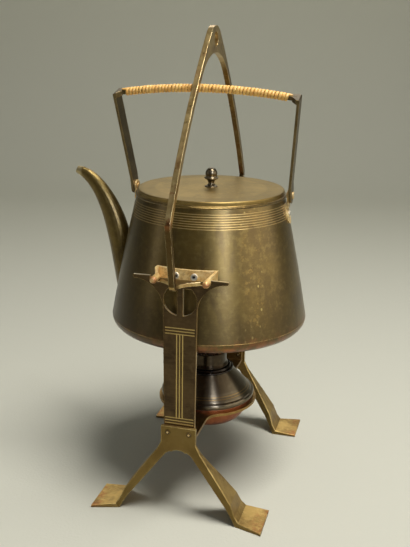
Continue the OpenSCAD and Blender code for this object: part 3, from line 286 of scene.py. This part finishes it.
def foot_extra(m, color):
    # Copper shows through at the tips and round the rim of the feet
    tip = m.span(m.math("ABSOLUTE", m.dx), 0.060, 0.076)
    low = m.span(m.z, 0.0, 0.006, 1.0, 0.35)
    red = m.span(m.noise(m.obj, 140, 5, 0.7), 0.44, 0.6)
    color = m.mix(m.math("MULTIPLY", m.all_of(tip, red, low), 0.8), color, srgb(176, 96, 58))
    brown = m.span(m.noise(m.obj, 55, 4, 0.6), 0.5, 0.64)
    color = m.mix(m.math("MULTIPLY", brown, 0.45), color, srgb(104, 74, 40))
    # Faces that look sideways are painted duller than those that look up: painted shade
    side_shade = m.span(m.facing()[2], 0.0, 1.0, 1.0, 0.0)
    color = m.mix(m.math("MULTIPLY", side_shade, 0.85), color, srgb(98, 79, 41))
    # A dark ring round the two rivets
    ring = m.all_of(m.span(from_foot_rivet(m), 0.0022, 0.0034, 1.0, 0.0), m.span(m.math("ABSOLUTE", m.y), 0.085, 0.086))
    return m.mix(m.math("MULTIPLY", ring, 0.35), color, srgb(40, 26, 14))


def bail_extra(m, color):
    # Red patches, most round the bend; the straight lower legs and the far leg are painted dark, as painted shade
    red = m.span(m.noise(m.stretch(1, 1, 0.5), 95, 5, 0.7), 0.5, 0.62)
    bend = m.span(m.math("ABSOLUTE", m.math("SUBTRACT", m.z, 0.275)), 0.0, 0.05, 1.0, 0.25)
    color = m.mix(m.math("MULTIPLY", m.all_of(red, bend), 0.8), color, srgb(150, 76, 42))
    shaded_lower_legs = m.all_of(m.span(m.z, 0.262, 0.272, 1.0, 0.0), m.span(m.z, 0.2150, 0.2165))
    color = m.mix(m.math("MULTIPLY", shaded_lower_legs, 0.92), color, srgb(66, 50, 26))
    return m.mix(m.math("MULTIPLY", m.span(m.y, 0.005, 0.05), 0.6), color, srgb(70, 52, 28))


def spout_extra(m, color):
    lip = m.span(m.x, -0.1055, -0.1025, 1.0, 0.0)
    color = m.mix(m.math("MULTIPLY", lip, 0.7), color, srgb(196, 178, 132))
    root = m.all_of(m.span(m.x, -0.074, -0.060), m.span(m.noise(m.obj, 180), 0.45, 0.6))
    return m.mix(m.math("MULTIPLY", root, 0.35), color, srgb(70, 56, 36))


def lid_extra(m, color):
    # Painted shade on a darker outer band, and a painted reflection that darkens the top outside a ring at 50 mm
    rim = m.span(m.r, 0.0600, 0.0652)
    color = m.mix(m.math("MULTIPLY", rim, 0.35), color, srgb(126, 104, 58))
    reflection_ring = m.span(m.r, 0.0490, 0.0515)
    color = m.mix(m.math("MULTIPLY", reflection_ring, 0.3), color, srgb(112, 94, 52))
    stain = m.span(m.noise(m.obj, 48, 5, 0.65, 0.6), 0.52, 0.66)
    return m.mix(m.math("MULTIPLY", stain, 0.35), color, srgb(112, 96, 58))


def shoulder_lines(m, color):
    # Two fine turned lines near the foot of the shoulder
    wave = m.math("ABSOLUTE", m.math("SUBTRACT", m.math("ABSOLUTE", m.math("SUBTRACT", m.z, 0.0845)), 0.0009))
    lines = m.span(wave, 0.0001, 0.0004, 1.0, 0.0)
    return m.mix(m.math("MULTIPLY", lines, 0.7), color, srgb(172, 140, 84))


def knob_extra(m, color):
    red = m.all_of(m.span(m.math("ABSOLUTE", m.y), 0.0945, 0.0985), m.span(m.noise(m.obj, 260, 4), 0.35, 0.6))
    color = m.mix(m.math("MULTIPLY", red, 0.75), color, srgb(168, 92, 52))
    tarnish = m.all_of(m.span(m.noise(m.obj, 230, 5, 0.7), 0.48, 0.62),
                       m.span(m.math("ABSOLUTE", m.y), 0.084, 0.095, 0.5, 0.3))
    return m.mix(tarnish, color, srgb(176, 124, 56))


def stand_rivet_extra(m, color):
    # A dark ring round a pale centre
    d = from_foot_rivet(m)
    color = m.mix(m.span(d, 0.0009, 0.0012), color, srgb(44, 30, 18))
    return m.mix(m.span(d, 0.0016, 0.0019), color, srgb(112, 90, 48))


def rivet_extra(m, color):
    # The open ends of the tubular rivets are painted black: painted shade inside them
    def hole(u, v):
        return m.span(m.length(u, v), 0.00125, 0.0014, 1.0, 0.0)
    plate = hole(m.math("SUBTRACT", m.math("ABSOLUTE", m.dx), PLATE_RIVET[0]), m.math("SUBTRACT", m.z, PLATE_RIVET[1]))
    lug = hole(m.y, m.math("SUBTRACT", m.z, LUG_RIVET_Z))
    hollow_shade = m.math("ADD", m.all_of(plate, m.span(m.math("ABSOLUTE", m.y), 0.060, 0.061)),
                    m.all_of(lug, m.span(m.math("ABSOLUTE", m.dx), 0.060, 0.061)), clamp=True)
    return m.mix(hollow_shade, color, srgb(16, 13, 9))


KETTLE = dict(dark=srgb(92, 74, 34), mid=srgb(118, 97, 44), light=srgb(138, 118, 66), edge=srgb(206, 170, 102))
mats = {
    "kettle": metal("kettle_brass", **KETTLE, rough=(0.30, 0.40), spin=True, patch=18, extra=kettle_extra,
                    relief=0.05, brush=0.10, metallic=0.82, Coat_Weight=0.35, Coat_Roughness=0.30),
    "spout": metal("spout_brass", **KETTLE, rough=(0.30, 0.40), grain=(70, 900, 70), patch=30, extra=spout_extra,
                   relief=0.06, brush=0.12, metallic=0.82, Coat_Weight=0.35, Coat_Roughness=0.28),
    "lid": metal("lid_brass", srgb(146, 121, 66), srgb(174, 146, 85), srgb(194, 169, 110), srgb(232, 204, 136),
                 rough=(0.32, 0.44), spin=True, patch=16, extra=lid_extra, relief=0.10, metallic=0.92),
    "post": metal("post_bronze", srgb(62, 48, 30), srgb(82, 65, 41), srgb(104, 84, 55), srgb(196, 164, 104),
                  rough=(0.32, 0.46), grain=(50, 50, 900), patch=40, extra=post_marks_and_highlights, metallic=0.85, relief=0.1),
    "foot": metal("foot_brass", srgb(168, 136, 76), srgb(206, 172, 102), srgb(228, 198, 128), srgb(255, 232, 160),
                  rough=(0.34, 0.5), grain=(70, 600, 70), patch=46, extra=foot_extra, metallic=0.93),
    "strap": metal("strap_brass", srgb(104, 80, 46), srgb(140, 110, 62), srgb(170, 140, 86), srgb(212, 178, 112),
                   rough=(0.3, 0.46), spin=True, patch=46),
    "bail": metal("bail_brass", srgb(150, 122, 72), srgb(190, 162, 106), srgb(220, 196, 144), srgb(244, 224, 172),
                  rough=(0.24, 0.38), grain=(200, 200, 24), patch=30, extra=bail_extra, edge_radius=0.0008),
    "handle": metal("handle_bronze", srgb(74, 62, 40), srgb(100, 86, 58), srgb(128, 112, 80), srgb(196, 172, 124),
                    rough=(0.28, 0.42), grain=(400, 400, 40), patch=42, edge_radius=0.0008),
    "burner": metal("burner_bronze", srgb(98, 88, 70), srgb(114, 103, 84), srgb(132, 120, 98), srgb(160, 138, 104),
                    rough=(0.28, 0.34), spin=True, patch=14, extra=shoulder_lines, metallic=0.9, relief=0.02,
                    shade_and_grime=0.0, brush=0.10, Anisotropic=0.85, Anisotropic_Rotation=0.25),
    "sleeve": metal("sleeve_bronze", srgb(56, 47, 35), srgb(72, 62, 46), srgb(90, 78, 58), srgb(130, 112, 84),
                    rough=(0.28, 0.36), spin=True, patch=40, metallic=0.9, relief=0.03, shade_and_grime=0.0, brush=0.10,
                    edge_amount=0.0,
                    Anisotropic=0.85, Anisotropic_Rotation=0.25),
    "collar": metal("burner_black", srgb(30, 26, 21), srgb(42, 36, 30), srgb(58, 50, 42), srgb(96, 84, 66),
                    rough=(0.2, 0.3), spin=True, patch=60, metallic=0.7, relief=0.05),
    "bowl": metal("bowl_copper", srgb(112, 66, 46), srgb(146, 88, 60), srgb(172, 112, 80), srgb(204, 146, 108),
                  rough=(0.3, 0.45), spin=True, patch=40),
    "fitting": metal("fitting_brass", srgb(222, 176, 100), srgb(250, 216, 146), srgb(255, 236, 180),
                     srgb(255, 236, 186), rough=(0.28, 0.40), grain=(300, 60, 300), patch=60, extra=knob_extra,
                     shade_and_grime=0.3, relief=0.06, metallic=0.25),
    "stand_rivet": metal("stand_rivet", srgb(190, 160, 104), srgb(214, 186, 130), srgb(230, 206, 154),
                         srgb(150, 122, 70), rough=(0.3, 0.42), patch=160, extra=stand_rivet_extra, metallic=0.7,
                         edge_radius=0.0006),
    "rivet": metal("rivet_brass", srgb(128, 100, 56), srgb(168, 136, 80), srgb(198, 168, 108), srgb(232, 202, 136),
                   rough=(0.24, 0.36), patch=160, edge_radius=0.0006),
    "white": metal("rivet_white", srgb(226, 220, 200), srgb(246, 240, 222), srgb(252, 248, 234), srgb(255, 252, 242),
                   rough=(0.3, 0.4), patch=180, edge_radius=0.0005, extra=rivet_extra, shade_and_grime=0.0, metallic=0.1),
    "finial": metal("finial_bronze", srgb(84, 76, 60), srgb(112, 101, 80), srgb(146, 133, 108), srgb(180, 160, 124),
                    rough=(0.24, 0.34), spin=True, patch=70, shade_and_grime=0.3, relief=0.05),
}

USES = {
    "kettle": ("kettle_body", "kettle_foot", "kettle_base", "lid_seat"),
    "spout": ("spout",),
    "lid": ("lid", "lid_collar"),
    "post": ("post_front", "post_back"),
    "foot": ("foot_front", "foot_back"),
    "strap": ("burner_strap",),
    "bail": ("bail",),
    "handle": ("handle_frame",),
    "burner": ("burner_shoulder",),
    "sleeve": ("flame_sleeve",),
    "collar": ("burner_collar",),
    "bowl": ("burner_bowl",),
    "fitting": ("lug_spout_side", "lug_handle_side", "bracket_front", "bracket_back", "hinge_pins"),
    "stand_rivet": ("stand_rivets",),
    "rivet": ("wick_tube", "finial_stud"),
    "white": ("lug_rivets", "bracket_rivets"),
    "finial": ("finial",),
}
for key, names in USES.items():
    for name in names:
        mesh = nodes[name].data
        mesh.materials.clear()
        mesh.materials.append(mats[key])


# ---------------------------------------------------------------- cane winding

def new_mesh(name, points, faces, mat, uvs=None):
    mesh = bpy.data.meshes.new(name)
    mesh.from_pydata(points, [], faces)
    mesh.validate()
    for face in mesh.polygons:
        face.use_smooth = True
    if uvs:
        layer = mesh.uv_layers.new(name="strip")
        for loop in mesh.loops:
            layer.data[loop.index].uv = uvs[loop.vertex_index]
    mesh.materials.append(mat)
    obj = bpy.data.objects.new(name, mesh)
    scene.collection.objects.link(obj)
    return obj


def tube(rings, closed=True):
    """Points and faces of a skin over rings of points."""
    m = len(rings[0])
    points = [p for ring in rings for p in ring]
    faces = []
    for i in range(len(rings) - 1):
        for j in range(m):
            a, b = i * m + j, i * m + (j + 1) % m
            faces.append((a, b, b + m, a + m))
    if closed:
        faces.append(tuple(range(m - 1, -1, -1)))
        last = (len(rings) - 1) * m
        faces.append(tuple(range(last, last + m)))
    return points, faces


HINGE_Z = 0.272
LEAN = math.radians(16)
CORNER_X = 0.0807
GRIP_HALF = 0.074
GRIP_END = 0.0876
GRIP_SAG = 0.007
ARCH_R = (CORNER_X ** 2 + GRIP_SAG ** 2) / (2 * GRIP_SAG)
ARCH_Z = GRIP_END + GRIP_SAG - ARCH_R
ROD_R = 0.0022
CANE_T = 0.0012
TURNS = 48


def on_grip(turn, along_mm, radius):
    """Point of the grip at an angle round its rod, a distance along it and a radius from its axis."""
    along = math.asin(along_mm / ARCH_R)
    up = radius * math.cos(turn)
    x = (ARCH_R + up) * math.sin(along)
    y = radius * math.sin(turn)
    z = ARCH_Z + (ARCH_R + up) * math.cos(along)
    return (AXIS_X + x, y * math.cos(LEAN) - z * math.sin(LEAN), HINGE_Z + y * math.sin(LEAN) + z * math.cos(LEAN))


def cane_strip(name, mat, seed):
    """One flat strip of cane wound from end to end, its edges touching the next turn."""
    rng = random.Random(seed)
    steps = 28
    width = 2 * (GRIP_HALF - 0.0035) / TURNS
    base = ROD_R + 0.00012
    wobble = [rng.uniform(-1, 1) for _ in range(TURNS + 3)]
    rings = []
    uvs = []
    section = [(-0.50, 0.38), (-0.36, 0.80), (-0.14, 1.0), (0.14, 1.0), (0.36, 0.80), (0.50, 0.38), (0.3, 0.0),
               (-0.3, 0.0)]
    count = TURNS * steps
    for i in range(count + 1):
        turn = 2 * math.pi * i / steps
        k = i / steps
        w0, w1 = wobble[int(k)], wobble[int(k) + 1]
        w = w0 + (w1 - w0) * (k - int(k))
        middle = -GRIP_HALF + 0.0035 + width * k + width * 0.10 * w
        half = width * (0.98 + 0.03 * w)
        thick = CANE_T * (1.0 + 0.10 * w)
        ring = []
        for u, h in section:
            ring.append(on_grip(turn + math.pi * 0.3, middle + u * half, base + h * thick))
            uvs.append((i / steps, u + 0.5))
        rings.append(ring)
    points, faces = tube(rings)
    faces = [tuple(reversed(f)) for f in faces]
    return new_mesh(name, points, faces, mat, uvs)


def cane_material():
    m = Look("cane")
    uv = m.add("ShaderNodeUVMap", uv_map="strip").outputs[0]
    fibres = m.noise(m.stretch(2.2, 26, 1, uv), 1.0, 3, 0.6)
    tone = m.noise(m.stretch(1.1, 0.6, 1, uv), 1.0, 2, 0.5)
    blots = m.noise(m.obj, 260, 4, 0.6)
    color = m.mix(m.span(tone, 0.3, 0.7), srgb(252, 184, 84), srgb(255, 206, 108))
    color = m.mix(m.span(fibres, 0.4, 0.72, 0.0, 0.55), color, srgb(255, 230, 168))
    color = m.mix(m.span(blots, 0.54, 0.66, 0.0, 0.5), color, srgb(186, 122, 58))
    # Darker between the turns: painted shade
    color = m.mix(m.math("MULTIPLY", m.crevice(0.0008, 0.2, 0.8), 0.35), color, srgb(150, 96, 44))
    rough = m.span(fibres, 0.3, 0.7, 0.34, 0.55, False)
    normal = m.bump(m.math("ADD", fibres, m.math("MULTIPLY", blots, 0.5)), 0.35, 0.0003)
    return m.finish(color, rough, normal, 0.0, Coat_Weight=0.15)


cane = cane_strip("cane_winding", cane_material(), 4)


def cane_end(name, side, mat):
    """The strip's end, tucked straight along the rod under the last turn."""
    rings = []
    uvs = []
    for i in range(9):
        t = i / 8
        along = side * (GRIP_HALF - 0.0052 + 0.0050 * t)
        half = 0.30 + 0.55 * (1 - t)
        ring = []
        for j in range(8):
            a = -half + 2 * half * j / 7
            lift = 0.0010 * math.cos(a / half * 1.35)
            ring.append(on_grip(a, along, ROD_R + 0.00012 + lift))
            uvs.append((t, j / 7))
        for j in range(8):
            a = half - 2 * half * j / 7
            ring.append(on_grip(a, along, ROD_R + 0.00006))
            uvs.append((t, j / 7))
        rings.append(ring)
    points, faces = tube(rings)
    return new_mesh(name, points, faces, mat, uvs)


cane_mat = cane.data.materials[0]
tails = [cane_end("cane_end_spout_side", -1, cane_mat), cane_end("cane_end_far_side", 1, cane_mat)]
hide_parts("cane_wrap")
for piece in [cane] + tails:
    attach(piece, "handle")


# ---------------------------------------------------------------- finial

def turned(profile, sides):
    """Rings of points round the kettle's axis, from (radius, height) points."""
    return [[(AXIS_X + r * math.cos(2 * math.pi * j / sides), r * math.sin(2 * math.pi * j / sides), z)
             for j in range(sides)] for r, z in profile]


def lathe(name, profile, mat, sides=72):
    """A turned solid whose profile starts and ends on the axis."""
    points, faces = tube(turned(profile, sides))
    return new_mesh(name, points, faces, mat)


def finial_profile():
    low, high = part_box("finial")
    base, top = low[2], high[2]
    ball_r = 5.3 * MM
    ball_z = top - ball_r
    points = [(0.05 * MM, 0), (5.6 * MM, 0), (5.8 * MM, 0.25 * MM), (5.8 * MM, 0.65 * MM), (5.3 * MM, 1.0 * MM),
              (4.2 * MM, 1.4 * MM), (3.3 * MM, 2.1 * MM), (2.8 * MM, 3.0 * MM), (2.7 * MM, 4.0 * MM),
              (3.0 * MM, 5.0 * MM), (3.9 * MM, 6.0 * MM), (5.1 * MM, 6.9 * MM), (6.1 * MM, 7.6 * MM),
              (6.4 * MM, 8.0 * MM), (6.4 * MM, 8.35 * MM), (6.1 * MM, 8.6 * MM), (5.2 * MM, 8.75 * MM)]
    points = [(r, base + z) for r, z in points]
    for i in range(17):
        a = math.radians(-24 + (89.5 + 24) * i / 16)
        points.append((ball_r * math.cos(a), ball_z + ball_r * math.sin(a)))
    return [p for p in points if p[1] <= top]


finial = lathe("finial_turned", finial_profile(), mats["finial"])
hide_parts("finial")
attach(finial, "lid")


# ---------------------------------------------------------------- burner shoulder

def shoulder_shell(name, mat, sides=120):
    """The straight cone of the burner with its beaded edge, a closed shell round the wick tube."""
    low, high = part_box("burner_shoulder")
    base, top = low[2], high[2]
    edge = (high[0] - low[0]) / 2
    lip = base + 2.8 * MM
    outer = [(41.9 * MM, base)]
    for i in range(9):
        a = math.radians(-80 + 160 * i / 8)
        outer.append((edge - 1.7 * MM + 1.7 * MM * math.cos(a), lip + 2.7 * MM * math.sin(a)))
    outer += [(42.2 * MM, base + 5.7 * MM), (41.8 * MM, base + 5.9 * MM)]
    foot, head = (41.7 * MM, base + 6.1 * MM), (22.9 * MM, top - 0.5 * MM)
    for i in range(25):
        t = i / 24
        bow = 0.5 * MM * 4 * t * (1 - t)
        groove = 0.22 * MM if i in (4, 6) else 0.0
        outer.append((foot[0] + (head[0] - foot[0]) * t + bow * 0.7 - groove,
                      foot[1] + (head[1] - foot[1]) * t + bow * 0.7))
    outer += [(22.6 * MM, top - 0.15 * MM), (22.3 * MM, top)]
    inner = [(12.1 * MM, top), (12.1 * MM, top - 1.0 * MM), (21.6 * MM, top - 1.0 * MM), (40.6 * MM, base + 5.6 * MM),
             (40.6 * MM, base)]
    rings = turned(outer + inner, sides)
    points, faces = tube(rings, closed=False)
    last = (len(rings) - 1) * sides
    faces += [(last + j, last + (j + 1) % sides, (j + 1) % sides, j) for j in range(sides)]
    return new_mesh(name, points, faces, mat)


shoulder = shoulder_shell("burner_cone", mats["burner"])
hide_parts("burner_shoulder")
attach(shoulder, "burner")


# ---------------------------------------------------------------- wick

def wick_material():
    m = Look("cotton")
    threads = m.noise(m.stretch(900, 900, 260), 1.0, 3, 0.6)
    cells = m.cells(m.stretch(1, 1, 0.6), 900)
    color = m.mix(m.span(threads, 0.35, 0.7), srgb(196, 186, 162), srgb(232, 226, 208))
    color = m.mix(m.span(cells, 0.0, 0.35, 0.35, 0.0), color, srgb(150, 136, 108))
    char = m.math("ADD", m.span(m.z, 0.1105, 0.1152), m.math("MULTIPLY", m.noise(m.obj, 500), 0.4))
    color = m.mix(m.span(char, 0.5, 1.0, 0.0, 0.92), color, srgb(44, 36, 30))
    normal = m.bump(threads, 0.6, 0.0004)
    return m.finish(color, m.span(threads, 0.3, 0.7, 0.8, 0.95, False), normal, 0.0, Sheen_Weight=0.3)


def wick_bundle(name, mat):
    """A round wick of twisted yarns, a little frayed at the top."""
    rng = random.Random(11)
    low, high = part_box("wick")
    low_z, high_z = low[2] + 0.0002, high[2] - 0.0002
    reach = (high[0] - low[0]) / 2
    yarn = reach / 5.15
    points, faces = [], []
    spots = [(0.0, 0.0)]
    spots += [(reach * 0.39, 2 * math.pi * i / 6) for i in range(6)]
    spots += [(reach - yarn - 0.0003, 2 * math.pi * i / 12 + 0.2) for i in range(12)]
    for radius, angle in spots:
        top = high_z - rng.uniform(0.0, 0.0014)
        rings = []
        rows = 34
        for i in range(rows + 1):
            t = i / rows
            z = low_z + (top - low_z) * t
            a = angle + 3.4 * t
            cx, cy = AXIS_X + radius * math.cos(a), radius * math.sin(a)
            size = yarn * (0.97 + 0.03 * math.sin(40 * t + angle))
            if t > 0.96:
                size *= math.sqrt(max(0.02, 1 - ((t - 0.96) / 0.04) ** 2 * 0.9))
            rings.append([(cx + size * math.cos(2 * math.pi * j / 10), cy + size * math.sin(2 * math.pi * j / 10), z)
                          for j in range(10)])
        p, f = tube(rings)
        base = len(points)
        points += p
        faces += [tuple(base + k for k in face) for face in f]
    return new_mesh(name, points, faces, mat)


wick = wick_bundle("wick_yarns", wick_material())
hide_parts("wick")
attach(wick, "burner")


# ---------------------------------------------------------------- stage, light and camera

FORWARD = Vector((-0.2583, 0.9661, 0.0))
SIDE = Vector((0.9661, 0.2583, 0.0))


def stage_material():
    """Pale floor that turns to a grey backdrop behind the object."""
    mat = bpy.data.materials.new("stage")
    mat.use_nodes = True
    tree = mat.node_tree
    shader = tree.nodes["Principled BSDF"]
    shader.inputs["Roughness"].default_value = 0.9
    shader.inputs["Specular IOR Level"].default_value = 0.1
    coord = tree.nodes.new("ShaderNodeTexCoord")
    dot = tree.nodes.new("ShaderNodeVectorMath")
    dot.operation = "DOT_PRODUCT"
    dot.inputs[1].default_value = FORWARD
    tree.links.new(coord.outputs["Object"], dot.inputs[0])
    far = tree.nodes.new("ShaderNodeMapRange")
    far.interpolation_type = "SMOOTHSTEP"
    far.inputs["From Min"].default_value = 0.30
    far.inputs["From Max"].default_value = 1.30
    tree.links.new(dot.outputs["Value"], far.inputs["Value"])
    felt = tree.nodes.new("ShaderNodeTexNoise")
    felt.inputs["Scale"].default_value = 420
    felt.inputs["Detail"].default_value = 3
    tree.links.new(coord.outputs["Object"], felt.inputs["Vector"])
    mix = tree.nodes.new("ShaderNodeMix")
    mix.data_type = "RGBA"
    mix.inputs[6].default_value = srgb(214, 213, 199)
    mix.inputs[7].default_value = srgb(212, 211, 195)
    tree.links.new(far.outputs["Result"], mix.inputs[0])
    tree.links.new(mix.outputs[2], shader.inputs["Base Color"])
    bump = tree.nodes.new("ShaderNodeBump")
    bump.inputs["Strength"].default_value = 0.25
    bump.inputs["Distance"].default_value = 0.001
    tree.links.new(felt.outputs[0], bump.inputs["Height"])
    tree.links.new(bump.outputs[0], shader.inputs["Normal"])
    return mat


def build_stage():
    rows = [(-7.0, 0.0), (1.3, 0.0)]
    rows += [(1.3 + 0.5 * math.sin(math.radians(a)), 0.5 - 0.5 * math.cos(math.radians(a)))
             for a in range(10, 91, 10)]
    rows += [(1.8, 2.6)]
    points = []
    for d, z in rows:
        for s in (-7.0, 7.0):
            p = FORWARD * d + SIDE * s
            points.append((p.x, p.y, z - 0.0001))
    faces = [(2 * i, 2 * i + 1, 2 * i + 3, 2 * i + 2) for i in range(len(rows) - 1)]
    obj = new_mesh("floor", points, faces, stage_material())


build_stage()

world = bpy.data.worlds.new("world")
scene.world = world
world.use_nodes = True


def build_world():
    """A dim room under a brighter ceiling."""
    tree = world.node_tree
    back = tree.nodes["Background"]
    coord = tree.nodes.new("ShaderNodeTexCoord")
    split = tree.nodes.new("ShaderNodeSeparateXYZ")
    tree.links.new(coord.outputs["Generated"], split.inputs[0])
    rise = tree.nodes.new("ShaderNodeMapRange")
    rise.interpolation_type = "SMOOTHSTEP"
    rise.inputs["From Min"].default_value = 0.05
    rise.inputs["From Max"].default_value = 0.95
    rise.inputs["To Min"].default_value = 0.06
    rise.inputs["To Max"].default_value = 0.18
    tree.links.new(split.outputs[2], rise.inputs["Value"])
    tree.links.new(rise.outputs["Result"], back.inputs["Strength"])
    back.inputs["Color"].default_value = (0.97, 1.0, 0.96, 1.0)


build_world()


def area(name, spot, target, size, size_y, power, color=(1.0, 0.98, 0.94), sheen_only=False):
    lamp = bpy.data.lights.new(name, "AREA")
    lamp.shape = "RECTANGLE"
    lamp.size, lamp.size_y = size, size_y
    lamp.energy = power
    lamp.color = color
    obj = bpy.data.objects.new(name, lamp)
    obj.location = spot
    obj.rotation_euler = (Vector(target) - Vector(spot)).to_track_quat("-Z", "Y").to_euler()
    obj.visible_diffuse = not sheen_only
    scene.collection.objects.link(obj)


def round_about(degrees, distance, height):
    a = math.radians(degrees)
    return (AXIS_X + distance * math.sin(a), -distance * math.cos(a), height)


area("top", (0.43, -0.18, 1.5), (AXIS_X, 0, 0.1), 0.6, 0.6, 22)
area("key", round_about(34, 1.5, 0.90), (AXIS_X, 0, 0.2), 0.26, 1.2, 13, (0.88, 0.94, 1.12), True)
area("back", round_about(190, 1.3, 1.25), (AXIS_X, 0, 0.2), 1.3, 0.5, 5, sheen_only=True)
area("right", round_about(84, 1.7, 0.7), (AXIS_X, 0, 0.2), 1.9, 1.1, 14, (1.0, 0.93, 0.80), True)
area("left", round_about(-60, 1.6, 0.6), (AXIS_X, 0, 0.2), 0.14, 0.9, 1.2, sheen_only=True)

camera_data = bpy.data.cameras.new("camera")
camera_data.lens = 52.93
camera_data.sensor_width = 36.0
camera_data.sensor_fit = "AUTO"
camera_data.clip_start = 0.01
camera = bpy.data.objects.new("camera", camera_data)
camera.location = (0.2000, -0.6902, 0.4088)
look = Vector((0.01553, 0.0, 0.1933)) - Vector(camera.location)
camera.rotation_euler = (look.to_track_quat("-Z", "Y") @ Quaternion((0, 0, 1), math.radians(0.906))).to_euler()
scene.collection.objects.link(camera)
scene.camera = camera
scene.view_settings.view_transform = "Standard"
